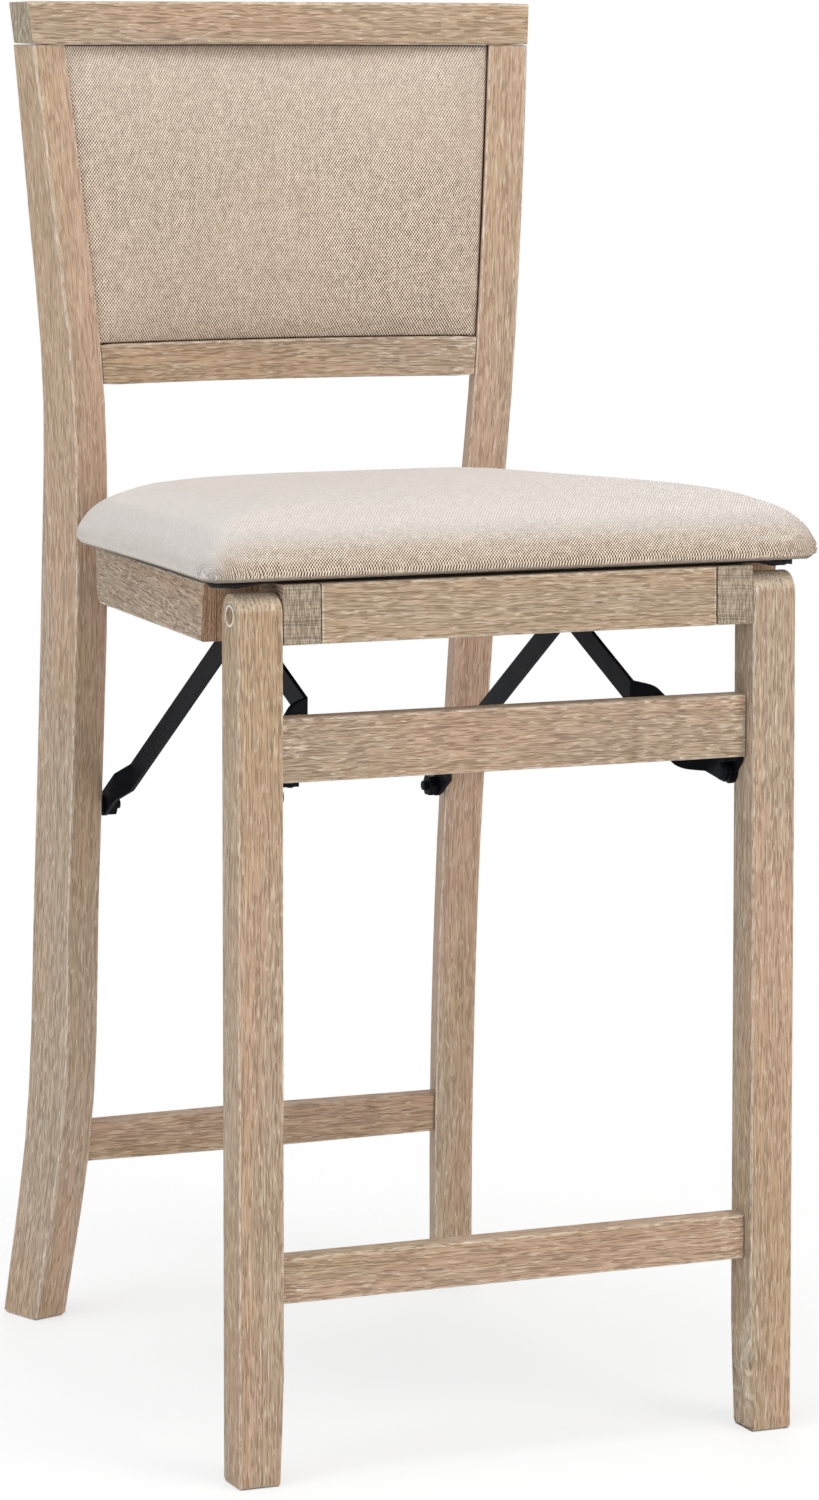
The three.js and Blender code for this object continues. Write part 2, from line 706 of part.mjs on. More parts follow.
function seatRail(side) {
  const outerSlope = (seatRailFrontOuterX - seatRailRearOuterX) / (seatRailRearY - legNotchY);
  const frontOuterX = seatRailFrontOuterX + outerSlope * (legNotchY - apronFrontY);
  const sawn = planPlank(
    polygon(
      [side * seatRailFrontX, apronFrontY],
      [side * frontOuterX, apronFrontY],
      [side * seatRailRearOuterX, seatRailRearY],
      [side * seatRailRearX, seatRailRearY],
    ),
    -seatRailTop,
    seatRailHeight,
    woodEase,
  );
  const notch = polygon(
    [-overrun, -seatRailTop - overrun],
    [legNotchY + legNotchSlant * (1 + overrun / seatRailHeight), -seatRailTop - overrun],
    [legNotchY - legNotchSlant * (overrun / seatRailHeight), seatRailTop + overrun],
    [-overrun, seatRailTop + overrun],
  );
  const notchX = legInnerX - turningGap;
  const legRoom = sidePlank(notch, side > 0 ? notchX : -notchX - legWidth - overrun, legWidth + overrun);
  const heel = new THREE.Shape();
  heel.moveTo(seatRailRearY + overrun, -seatRailTop - overrun);
  heel.lineTo(seatRailRearY + overrun, seatRailRearRadius - seatRailTop);
  heel.lineTo(seatRailRearY, seatRailRearRadius - seatRailTop);
  heel.absarc(seatRailRearY - seatRailRearRadius, seatRailRearRadius - seatRailTop, seatRailRearRadius,
    0, -Math.PI / 2, true);
  heel.lineTo(seatRailRearY - seatRailRearRadius, -seatRailTop - overrun);
  const heelCut = sidePlank(heel, side > 0 ? 0 : -frontHalfWidth - overrun, frontHalfWidth + overrun);
  const bore = rod(side, 0, 0, legInsertRadius + boreGap, seatRailFrontX + legInsertEnd, frontHalfWidth);
  const studBore = rod(side, seatPivotLocalY, seatPivotLocalZ, pivotRadius + boreGap, 0,
    railInnerX(seatPivotLocalY) + postBoltDepth + boreGap);
  return sawn.subtract(legRoom).subtract(heelCut).subtract(bore).subtract(studBore);
}

function apron(fromY, height) {
  const half = railInnerX(fromY + apronThickness) - glueLine;
  const bottom = seatRailTop - height;
  const shape = polygon([-half, bottom], [half, bottom], [half, seatRailTop], [-half, seatRailTop]);
  return solidOf(frontGeometry(shape, fromY, apronThickness, woodEase));
}

function cornerBlock(side, y, length, towardRear) {
  const step = towardRear ? 1 : -1;
  const x = Math.min(railInnerX(y), railInnerX(y + step * length)) - glueLine;
  const shape = polygon(
    [side * x, y],
    [side * x, y + step * length],
    [side * (x - length * cornerBlockNoseShare), y + step * length],
    [side * (x - length), y + step * length * cornerBlockNoseShare],
    [side * (x - length), y],
  );
  return planPlank(shape, seatRailTop - glueLine - cornerBlockHeight, cornerBlockHeight);
}

// The threaded insert in the seat rail's front end that each leg's pivot bolt screws into
function pivotInsert(side) {
  const near = seatRailFrontX + legInsertEnd + boreGap;
  const far = legInnerX - 2 * turningGap;
  const bore = pivotRadius + boreGap;
  return turned(side, 0, 0,
    [bore, near],
    [legInsertRadius, near],
    [legInsertRadius, far],
    [bore, far],
    [bore, near]);
}

// The stud that carries a rear brace's upper end, with its spacer against the seat rail
const seatStudSeat = railInnerX(seatPivotLocalY - collarRadius) - turningGap;
const seatStudEdge = railInnerX(seatPivotLocalY + collarRadius) - glueLine;
const seatStud = (side) =>
  turned(side, seatPivotLocalY, seatPivotLocalZ,
    [0, rearBraceX - turningGap - headHeight],
    [headRadius - headHeight / 2, rearBraceX - turningGap - headHeight],
    [headRadius, rearBraceX - turningGap],
    [pivotRadius, rearBraceX - turningGap],
    [pivotRadius, rearBraceX + strapThickness + turningGap],
    [collarRadius, rearBraceX + strapThickness + turningGap],
    [collarRadius, Math.min(seatStudSeat, seatStudEdge)],
    [pivotRadius, Math.min(seatStudSeat, seatStudEdge)],
    [pivotRadius, seatStudSeat + postBoltDepth],
    [0, seatStudSeat + postBoltDepth]);

// The seat's plan, drawn in by an inset: a trapezium with round corners and sides drawn in between them
function seatOutline(inset, level, draw) {
  const corners = [
    [cushionFrontHalfWidth - inset, cushionFrontY + inset],
    [cushionRearHalfWidth - inset, cushionRearY - inset],
    [-cushionRearHalfWidth + inset, cushionRearY - inset],
    [-cushionFrontHalfWidth + inset, cushionFrontY + inset],
  ].map(([x, y]) => new THREE.Vector3(x, y, level));
  const radius = Math.max(cushionCornerRadius - inset / 2, cushionCornerRadius / 2);
  const ring = [];
  corners.forEach((corner, i) => {
    const before = corners[(i + 3) % 4];
    const after = corners[(i + 1) % 4];
    const start = corner.clone().add(before.clone().sub(corner).setLength(radius));
    const end = corner.clone().add(after.clone().sub(corner).setLength(radius));
    ring.push(...new THREE.QuadraticBezierCurve3(start, corner, end).getPoints(cushionSteps));
    const next = after.clone().add(corner.clone().sub(after).setLength(radius));
    const sideways = new THREE.Vector3(corner.y - after.y, after.x - corner.x, 0).setLength(draw);
    for (let k = 1; k < cushionSteps; k++) {
      const share = k / cushionSteps;
      const dip = Math.sin(share * Math.PI);
      ring.push(end.clone().lerp(next, share).add(sideways.clone().multiplyScalar(dip)));
    }
  });
  return ring;
}

const boardBottom = seatRailTop + glueLine + dustCoverThickness + glueLine;
const boardTop = boardBottom + seatBoardThickness;
const seatBoard = () =>
  loft([seatOutline(seatBoardInset, boardBottom, 0), seatOutline(seatBoardInset, boardTop, 0)]);
const dustCover = () =>
  loft([
    seatOutline(dustCoverInset, seatRailTop + glueLine, 0),
    seatOutline(dustCoverInset, seatRailTop + glueLine + dustCoverThickness, 0),
  ]);

// The cushion: a crowned block with a pocket beneath that takes the seat board
function seatCushion() {
  const bottom = seatRailTop + cushionSkirt;
  const reach = (cushionRearY - cushionFrontY) / 2;
  const rings = cushionInsetShares.map((insetShare, i) => {
    const level = bottom + (cushionRise - bottom) * cushionRiseShares[i];
    const draw = cushionSideDraw * (1 - cushionRiseShares[i]);
    return seatOutline(insetShare * reach, level, draw);
  });
  const pocket = loft([
    seatOutline(seatBoardInset - turningGap, bottom - overrun, 0),
    seatOutline(seatBoardInset - turningGap, boardTop + glueLine, 0),
  ]);
  return loft(rings).subtract(pocket);
}

// Assembly
const stool = new THREE.Group();

for (const [hand, side] of sides) {
  stool.add(meshOf(`back_post_${hand}`, backPost(side), brushedWood()));
  stool.add(meshOf(`post_pivot_bolt_${hand}`, postPivotBolt(side), blackSteel()));
  const nutFrom = rearBraceFootX - glueLine - nutHeight;
  const nut = hexNut(side, postPivotY, postPivotHeight, nutFrom, nutHeight);
  stool.add(meshOf(`post_pivot_nut_${hand}`, nut, blackSteel()));
  stool.add(meshOf(`seat_rest_${hand}`, seatRest(side), blackSteel()));
  stool.add(meshOf(`rear_brace_${hand}`, rearBrace(side), blackSteel()));
  stool.add(meshOf(`front_brace_${hand}`, frontBrace(side), blackSteel()));
  stool.add(meshOf(`apex_rivet_${hand}`, apexRivet(side), blackSteel()));
  stool.add(meshOf(`front_leg_${hand}`, frontLeg(side), brushedWood()));
  stool.add(meshOf(`leg_pivot_bolt_${hand}`, legPivotBolt(side), blackSteel()));
  stool.add(meshOf(`leg_plug_${hand}`, legPlug(side), brushedWood()));
  stool.add(meshOf(`brace_bracket_${hand}`, braceBracket(side), blackSteel()));
  stool.add(meshOf(`bracket_pin_${hand}`, bracketPin(side), blackSteel()));
}
stool.add(meshOf("crest_rail", crestRail(), brushedWood()));
stool.add(meshOf("lower_back_rail", lowerBackRail(), brushedWood()));
stool.add(meshOf("rear_stretcher", rearStretcher(), brushedWood()));
stool.add(meshOf("back_pad", backPad(), linen()));
stool.add(
  meshOf("upper_front_rail", frontRail(upperRailBottom, upperRailHeight, upperRailSetback), brushedWood()),
);
stool.add(
  meshOf("footrest_stretcher", frontRail(footrestRise, footrestHeight, footrestSetback), brushedWood()),
);

const seat = new THREE.Group();
seat.position.set(0, legPivotY, legPivotHeight);
seat.rotation.x = -seatSlope;
stool.add(seat);
const rearApronY = seatRailRearY - rearApronInset - apronThickness;
for (const [hand, side] of sides) {
  seat.add(meshOf(`seat_rail_${hand}`, seatRail(side), brushedWood()));
  seat.add(meshOf(`seat_stud_${hand}`, seatStud(side), blackSteel()));
  seat.add(meshOf(`leg_pivot_insert_${hand}`, pivotInsert(side), brass()));
  const frontBlock = cornerBlock(side, apronFrontY + apronThickness + glueLine, frontBlockSide, true);
  seat.add(meshOf(`front_corner_block_${hand}`, frontBlock, brushedWood()));
  const rearBlock = cornerBlock(side, rearApronY - glueLine, rearBlockSide, false);
  seat.add(meshOf(`rear_corner_block_${hand}`, rearBlock, brushedWood()));
}
seat.add(meshOf("front_apron", apron(apronFrontY, seatRailHeight), brushedWood()));
seat.add(meshOf("rear_apron", apron(rearApronY, rearApronHeight), brushedWood()));
seat.add(meshOf("seat_board", seatBoard(), plywood()));
seat.add(meshOf("dust_cover", dustCover(), underlining()));
seat.add(meshOf("seat_cushion", seatCushion(), linen()));

// The origin is on the floor, under the middle of the whole stool
const part = new THREE.Group();
part.add(stool);
const box = new THREE.Box3().setFromObject(stool);
const middle = box.getCenter(new THREE.Vector3());
stool.position.set(-middle.x, -middle.y, -box.min.z);

export default part;
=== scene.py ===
import json
import math

import bmesh
import bpy
import numpy as np
from mathutils import Matrix, Vector
from mathutils.bvhtree import BVHTree

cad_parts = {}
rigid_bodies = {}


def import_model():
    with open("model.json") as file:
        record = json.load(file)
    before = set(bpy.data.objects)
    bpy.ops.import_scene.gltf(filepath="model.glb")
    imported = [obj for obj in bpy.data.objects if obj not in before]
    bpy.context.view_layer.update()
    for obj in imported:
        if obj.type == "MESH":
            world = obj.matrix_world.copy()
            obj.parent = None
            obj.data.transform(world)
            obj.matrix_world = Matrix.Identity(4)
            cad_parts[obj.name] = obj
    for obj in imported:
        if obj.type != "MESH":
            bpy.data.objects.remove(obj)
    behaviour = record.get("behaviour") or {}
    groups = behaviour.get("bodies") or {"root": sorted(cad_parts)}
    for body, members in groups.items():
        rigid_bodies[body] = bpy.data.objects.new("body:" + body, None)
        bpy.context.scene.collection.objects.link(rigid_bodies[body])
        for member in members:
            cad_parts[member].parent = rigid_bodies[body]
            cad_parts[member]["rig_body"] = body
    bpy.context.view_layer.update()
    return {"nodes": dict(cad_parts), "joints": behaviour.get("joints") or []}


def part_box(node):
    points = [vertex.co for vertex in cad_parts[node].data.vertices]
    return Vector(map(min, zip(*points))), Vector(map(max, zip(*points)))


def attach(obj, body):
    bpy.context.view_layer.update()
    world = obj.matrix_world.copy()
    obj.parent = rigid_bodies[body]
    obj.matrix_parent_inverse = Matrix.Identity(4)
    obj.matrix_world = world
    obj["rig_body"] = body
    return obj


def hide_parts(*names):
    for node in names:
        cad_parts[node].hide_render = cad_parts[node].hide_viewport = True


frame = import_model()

nodes = frame["nodes"]
scene = bpy.context.scene
scene.view_settings.view_transform = "Standard"


# The camera. It stands a metre up, ahead of the stool and to its left, with a long lens that keeps
# the legs nearly parallel. It looks slightly down, and its lens is set a little low, as a studio
# camera's is, so that the upright legs don't lean in.
camera_place = Vector((-1.5387, -3.5225, 1.0222))
camera_yaw = math.radians(23.945)
camera_tilt = math.radians(6.081)
camera_roll = math.radians(0.506)
sensor_long_side = 36.0
focal_heights = 3.6248
lens_fall = 0.15

ahead = Vector((math.sin(camera_yaw), math.cos(camera_yaw), 0)) * math.cos(camera_tilt)
ahead.z = -math.sin(camera_tilt)
level_right = Vector((math.cos(camera_yaw), -math.sin(camera_yaw), 0))
level_up = level_right.cross(ahead)
camera_right = level_right * math.cos(camera_roll) + level_up * math.sin(camera_roll)
camera_up = camera_right.cross(ahead)
camera_data = bpy.data.cameras.new("camera")
camera_data.sensor_width = sensor_long_side
camera_data.lens = sensor_long_side * focal_heights
camera_data.shift_y = -lens_fall
camera_data.clip_end = 200
camera = bpy.data.objects.new("camera", camera_data)
camera.matrix_world = Matrix.Translation(camera_place) @ Matrix(
    (camera_right, camera_up, -ahead)
).transposed().to_4x4()
scene.collection.objects.link(camera)
scene.camera = camera


# The studio. The stool stands on a wide white floor under a large soft box, with a warm lamp ahead to
# the right, a cool one to the left and a plain one behind. To the camera the room beyond is plain white
# paper, and the floor turns into that paper away from the stool.
floor_reach = 60.0
floor_white = 0.90
floor_paper_share = 0.60
floor_fade_from = 0.35
floor_fade_to = 1.5
room_light = 0.50
lamps = {
    "soft_box": {"place": (-0.4, -0.6, 3.4), "size": 2.6, "watts": 62, "colour": (0.97, 0.985, 1.0)},
    "warm_lamp": {"place": (1.9, -3.4, 1.7), "size": 2.2, "watts": 64, "colour": (1.0, 0.94, 0.86)},
    "cool_lamp": {"place": (-3.6, -0.9, 1.6), "size": 2.4, "watts": 46, "colour": (0.83, 0.92, 1.0)},
    "back_lamp": {"place": (1.6, 3.2, 2.2), "size": 2.4, "watts": 34, "colour": (1.0, 1.0, 1.0)},
}
lit_point = Vector((0, 0, 0.5))
for lamp_name, lamp in lamps.items():
    lamp_data = bpy.data.lights.new(lamp_name, "AREA")
    lamp_data.size = lamp["size"]
    lamp_data.energy = lamp["watts"]
    lamp_data.color = lamp["colour"]
    lamp_object = bpy.data.objects.new(lamp_name, lamp_data)
    lamp_object.location = lamp["place"]
    lamp_object.rotation_euler = (lit_point - Vector(lamp["place"])).to_track_quat("-Z", "Y").to_euler()
    scene.collection.objects.link(lamp_object)


class Wire:
    """A socket of a recipe, which adds, multiplies and compares as numbers and vectors do."""

    def __init__(self, recipe, socket):
        self.recipe = recipe
        self.socket = socket

    def _result(self, operation, *terms):
        settings = {"operation": operation}
        values = dict(enumerate(terms))
        if any(isinstance(t, Wire) and t.socket.type == "VECTOR" for t in terms):
            return self.recipe.node("ShaderNodeVectorMath", settings, values)["Vector"]
        return self.recipe.node("ShaderNodeMath", settings, values)["Value"]

    def __add__(self, other):
        return self._result("ADD", self, other)

    def __radd__(self, other):
        return self._result("ADD", other, self)

    def __sub__(self, other):
        return self._result("SUBTRACT", self, other)

    def __rsub__(self, other):
        return self._result("SUBTRACT", other, self)

    def __mul__(self, other):
        return self._result("MULTIPLY", self, other)

    def __rmul__(self, other):
        return self._result("MULTIPLY", other, self)

    def __truediv__(self, other):
        return self._result("DIVIDE", self, other)

    def __abs__(self):
        return self._result("ABSOLUTE", self)

    def sine(self):
        return self._result("SINE", self)

    def most(self, other):
        return self._result("MAXIMUM", self, other)

    def least(self, other):
        return self._result("MINIMUM", self, other)

    def along(self, axis):
        parts = self.recipe.node("ShaderNodeSeparateXYZ", {}, {"Vector": self})
        return parts[axis]

    def step(self, low, high):
        """0 below low and 1 above high, with a smooth rise between them."""
        settings = {"interpolation_type": "SMOOTHSTEP"}
        values = {"Value": self, "From Min": low, "From Max": high}
        return self.recipe.node("ShaderNodeMapRange", settings, values)["Result"]


class Recipe:
    """The node tree of a finish or of a repeated fitting. Every node comes from its node method."""

    def __init__(self, tree):
        self.tree = tree

    def node(self, kind, settings=None, values=None):
        """Adds a node of a kind, with its settings first and then a value or a link for each socket that
        is named. A curve is set as a list of its points. It gives the node's outputs back by name."""
        made = self.tree.nodes.new(kind)
        for key, setting in (settings or {}).items():
            if key == "curve":
                points = made.mapping.curves[0].points
                for share, value in setting[1:-1]:
                    points.new(share, value)
                for point, (share, value) in zip(points, setting):
                    point.location = share, value
                made.mapping.update()
            else:
                setattr(made, key, setting)
        for key, value in (values or {}).items():
            socket = self.socket(made.inputs, key)
            if isinstance(value, Wire):
                self.tree.links.new(value.socket, socket)
            else:
                socket.default_value = value
        return {
            key: Wire(self, out)
            for out in reversed(made.outputs)
            for key in (out.identifier, out.name)
            if out.enabled
        }

    @staticmethod
    def socket(sockets, key):
        if isinstance(key, int):
            return sockets[key]
        found = [s for s in sockets if s.identifier == key] or [s for s in sockets if s.name == key]
        return found[0]

    def noise(self, place, detail=2.0, seed=0.0):
        """A cloudy value near 0.5 at each place."""
        moved = place + (seed, seed * 0.7, seed * 1.3)
        values = {"Vector": moved, "Scale": 1.0, "Detail": detail}
        return self.node("ShaderNodeTexNoise", {}, values)["Fac"]

    def blend(self, share, first, second, way="MIX"):
        """The first colour, giving way to the second by a share."""
        settings = {"data_type": "RGBA", "blend_type": way}
        values = {"Factor_Float": share, "A_Color": first, "B_Color": second}
        return self.node("ShaderNodeMix", settings, values)["Result_Color"]

    def finish(self, colour, roughness, height=None, relief=0.0, constants=None):
        """Ends the tree in one surface, with raised parts where height is larger."""
        values = {"Base Color": colour, "Roughness": roughness}
        if height is not None:
            bump = {"Height": height, "Strength": 1.0, "Distance": relief}
            values["Normal"] = self.node("ShaderNodeBump", {}, bump)["Normal"]
        values.update(constants or {})
        surface = self.node("ShaderNodeBsdfPrincipled", {}, values)["BSDF"]
        self.node("ShaderNodeOutputMaterial", {}, {"Surface": surface})


def new_finish(name):
    """A material with an empty tree, and the recipe that fills it."""
    material = bpy.data.materials.new(name)
    material.use_nodes = True
    material.node_tree.nodes.clear()
    return material, Recipe(material.node_tree)


def seen_directly(recipe):
    """1 where the camera, or a reflection or a clear piece, looks straight at the background."""
    path = recipe.node("ShaderNodeLightPath")
    return path["Is Camera Ray"].most(path["Is Glossy Ray"]).most(path["Is Transmission Ray"])


world = bpy.data.worlds.new("studio")
scene.world = world
world.use_nodes = True
world.node_tree.nodes.clear()
room = Recipe(world.node_tree)
white = (1.0, 1.0, 1.0, 1.0)
paper = room.node("ShaderNodeBackground", {}, {"Color": white, "Strength": 1.0})["Background"]
glow = room.node("ShaderNodeBackground", {}, {"Color": white, "Strength": room_light})["Background"]
room_mix = room.node("ShaderNodeMixShader", {}, {0: seen_directly(room), 1: glow, 2: paper})["Shader"]
room.node("ShaderNodeOutputWorld", {}, {"Surface": room_mix})

floor_mesh = bpy.data.meshes.new("floor")
corners = [(-1, -1), (1, -1), (1, 1), (-1, 1)]
floor_mesh.from_pydata([(x * floor_reach, y * floor_reach, 0.0) for x, y in corners], [], [(0, 1, 2, 3)])
floor = bpy.data.objects.new("floor", floor_mesh)
scene.collection.objects.link(floor)
floor_finish, recipe = new_finish("floor_white")
matt = recipe.node("ShaderNodeBsdfDiffuse", {}, {"Color": (floor_white, floor_white, floor_white, 1)})["BSDF"]
lit = recipe.node("ShaderNodeEmission", {}, {"Color": white, "Strength": 1.0})["Emission"]
floor_place = recipe.node("ShaderNodeTexCoord")["Object"]
away = recipe.node("ShaderNodeVectorMath", {"operation": "LENGTH"}, {0: floor_place})["Value"]
paper_share = floor_paper_share + away.step(floor_fade_from, floor_fade_to) * (1 - floor_paper_share)
floor_parts = {0: seen_directly(recipe) * paper_share, 1: matt, 2: lit}
floor_mix = recipe.node("ShaderNodeMixShader", {}, floor_parts)["Shader"]
recipe.node("ShaderNodeOutputMaterial", {}, {"Surface": floor_mix})
floor_mesh.materials.append(floor_finish)


# The back frame: two curved posts, the crest rail on top of them, the lower back rail and the rear
# stretcher. Pale hardwood, sawn to shape, glued, then wire-brushed along the grain and rubbed with
# white filler, which stays in the pores and on the arrises.
hands = {"left": -1, "right": 1}


def paint(red, green, blue):
    """A colour as a paint chart gives it, from 0 to 255, for a socket."""
    shares = [channel / 255 for channel in (red, green, blue)]
    return tuple(s / 12.92 if s <= 0.04045 else ((s + 0.055) / 1.055) ** 2.4 for s in shares) + (1.0,)


wood_tone = paint(177, 150, 121)
wood_shadow = paint(122, 97, 74)
wood_rose = paint(182, 150, 128)
wood_grey = paint(168, 151, 131)
wood_filler = paint(219, 206, 187)
end_grey = (paint(142, 127, 108), paint(186, 172, 153))
# The rails' cut ends behind the notch: their own sanded brown, painted paler as painted light where the leg's
# shade falls on them.
end_brown_and_painted_light = (paint(184, 146, 116), paint(208, 170, 140))
back_half_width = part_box("crest_rail")[1].x
back_wrap = math.radians(18.6)
across = (1, 0, 0)
upright = (0, 0, 1)
centre_steps = 12
centre_degree = 4
drift_width = 0.005
ripple_width = 0.0011
limed_length = 0.034
limed_full = 0.004
glue_line_from = 0.0012
glue_line_full = 0.0007
brush_depth = 0.0010


def centre_line(recipe, place, node, axis):
    """How far the middle of a bent piece has moved off, at each place along an axis, in the other two
    directions. It is fitted through the solid's corners and measured from the middle's lowest value."""
    points = np.array([vertex.co for vertex in nodes[node].data.vertices])
    low, high = points[:, axis].min(), points[:, axis].max()
    levels = np.linspace(low, high, centre_steps + 1)
    share = (place.along("XYZ"[axis]) - float(low)) / float(high - low)
    parts = {}
    for other in {0, 1, 2} - {axis}:
        middles = np.polyval(np.polyfit(points[:, axis], points[:, other], centre_degree), levels)
        least, span = middles.min(), max(np.ptp(middles), 1e-6)
        curve = [(k / centre_steps, float(value)) for k, value in enumerate((middles - least) / span)]
        bend = recipe.node("ShaderNodeFloatCurve", {"curve": curve}, {"Value": share})["Value"]
        parts["XYZ"[other]] = bend * float(span)
    return recipe.node("ShaderNodeCombineXYZ", {}, parts)["Vector"]


def brushed_wood(name, grain, bent=None, limed_end=None, shade=1.0, seed=0.0, bite=1.0, notch_at=None):
    """Brushed wood whose grain runs along a direction, or along the bent node that is named, whose faces
    turn with the curved back. Bite is how deep the brush went. Behind notch_at cut ends are sanded brown,
    and painted paler than that brown: painted light where the leg's shade falls on them. Shade multiplies
    the colour: each piece's own tone, and on the posts painted cool light as well."""
    material, recipe = new_finish(name)
    turn = Vector(grain).normalized().rotation_difference(Vector(across)).to_euler()
    sources = recipe.node("ShaderNodeTexCoord")
    place = sources["Object"]
    normal = sources["Normal"]
    straight = place
    if bent:
        straight = place - centre_line(recipe, place, bent, 0 if grain == across else 2)
        angle = place.along("X") * (back_wrap / back_half_width)
        values = {"Vector": normal, "Axis": upright, "Angle": angle}
        normal = recipe.node("ShaderNodeVectorRotate", {"rotation_type": "AXIS_ANGLE"}, values)["Vector"]
    board = recipe.node("ShaderNodeMapping", {}, {"Vector": straight, "Rotation": turn})["Vector"]
    facing = recipe.node("ShaderNodeMapping", {}, {"Vector": normal, "Rotation": turn})["Vector"]
    end_grain = abs(facing.along("X")).step(0.5, 0.95)
    squareness = abs(normal.along("X")).most(abs(normal.along("Y"))).most(abs(normal.along("Z")))
    arris = 1.0 - squareness.step(0.93, 0.985)

    drift = recipe.noise(board * (5, 16, 16), detail=0.0, seed=seed) - 0.5
    ripple = recipe.noise(board * (38, 55, 55), detail=0.0, seed=seed + 2) - 0.5
    sway = drift * drift_width + ripple * ripple_width
    broad = (abs(facing.along("Y")) - abs(facing.along("Z"))).step(-0.02, 0.02)
    over_face = board.along("Z") * broad + board.along("Y") * (1.0 - broad) + sway
    parts = {"X": board.along("X"), "Y": over_face, "Z": broad * 0.4}
    face = recipe.node("ShaderNodeCombineXYZ", {}, parts)["Vector"]
    fibres = recipe.noise(face * (34, 860, 50), detail=0.0, seed=seed)
    pores = recipe.noise(face * (50, 1050, 50), detail=0.0, seed=seed + 3)
    breaks = recipe.noise(face * (110, 520, 50), detail=0.0, seed=seed + 31)
    figure = recipe.noise(face * (4, 240, 50), detail=0.0, seed=seed + 7)
    patches = recipe.noise(board * (2.4, 14, 14), detail=1.0, seed=seed + 11)
    clouds = recipe.noise(board * (3, 24, 24), detail=1.0, seed=seed + 17)
    groove = (1.0 - abs(fibres - 0.5).step(0.012, 0.085)) * (0.35 + breaks.step(0.40, 0.54) * 0.65)
    vein = (1.0 - abs(pores - 0.5).step(0.008, 0.075)) * (1.15 - breaks.step(0.44, 0.58) * 0.85)

    colour = recipe.blend(patches.step(0.42, 0.62) * 0.7, wood_tone, wood_rose)
    colour = recipe.blend(clouds.step(0.44, 0.64) * 0.6, colour, wood_grey)
    colour = recipe.blend(figure.step(0.44, 0.66) * 0.16, colour, wood_shadow)
    colour = recipe.blend(groove * min(0.58 * bite, 1.0), colour, wood_shadow)
    limed = vein * 0.54 * bite * (0.78 + clouds.step(0.42, 0.62) * 0.24)
    flakes = recipe.noise(board * (150, 700, 700), detail=1.0, seed=seed + 23)
    limed = limed + arris * flakes.step(0.38, 0.52) * 0.45
    if limed_end:
        beside = abs(place.along("X"))
        near_end = beside.step(limed_end - limed_length, limed_end - limed_full)
        limed = limed + near_end * flakes.step(0.56, 0.64) * patches.step(0.44, 0.60) * 0.7
        limed = limed + beside.step(limed_end - glue_line_from, limed_end - glue_line_full) * 0.5
    limed = limed.least(1.0)
    colour = recipe.blend(limed, colour, wood_filler)
    pits = recipe.noise(place * (1100, 1100, 130), detail=1.0, seed=seed + 5)
    dark_end, light_end = end_grey
    if notch_at is not None:
        behind = place.along("Y").step(notch_at, notch_at + 0.002)
        dark_end = recipe.blend(behind, end_grey[0], end_brown_and_painted_light[0])
        light_end = recipe.blend(behind, end_grey[1], end_brown_and_painted_light[1])
    rough_end = recipe.blend(pits.step(0.40, 0.60), dark_end, light_end)
    colour = recipe.blend(end_grain * 0.94, colour, rough_end)
    toned = (*(float(channel) for channel in np.broadcast_to(shade, 3)), 1.0)
    colour = recipe.blend(1.0, colour, toned, way="MULTIPLY")

    grooves = 0.6 - groove * 0.5 + end_grain * pits * 0.6
    dullness = 0.74 - limed * 0.10 + end_grain * 0.10
    dry = {"Specular IOR Level": 0.3}
    recipe.finish(colour, dullness, grooves, relief=brush_depth * bite, constants=dry)
    return material


def lay_on(material, *names):
    """Gives CAD nodes their finish."""
    for name in names:
        mesh = nodes[name].data
        mesh.materials.clear()
        mesh.materials.append(material)


lay_on(brushed_wood("crest_wood", across, bent="crest_rail", seed=1, shade=0.98), "crest_rail")
lower_rail_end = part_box("lower_back_rail")[1].x
lower_rail_wood = brushed_wood(
    "lower_rail_wood", across, bent="lower_back_rail", limed_end=lower_rail_end, seed=2, shade=0.96
)
lay_on(lower_rail_wood, "lower_back_rail")
lay_on(brushed_wood("rear_stretcher_wood", across, seed=4, shade=0.97), "rear_stretcher")
# The posts' wood is painted paler and bluer: partly their own tone, partly painted cool light for the cool
# lamp on their sides.
post_tone_and_painted_cool_light = (1.06, 1.07, 1.12)
for hand in hands:
    post = f"back_post_{hand}"
    post_wood = brushed_wood(f"post_wood_{hand}", upright, bent=post, seed=5, shade=post_tone_and_painted_cool_light, bite=0.8)
    lay_on(post_wood, post)


# The back pad: foam on a thin curved panel, wrapped in plain beige linen and pressed between the posts
# and the two rails. Its face swells, its edges roll back, and its corners are drawn round by the cloth.
linen_light = paint(247, 229, 209)
linen_dark = paint(84, 62, 46)
warp_pitch = 0.0021
weft_pitch = 0.0030
warp_sway = 0.0009
weft_sway = 0.0007
weave_depth = 0.0006
cloth_moments = 20


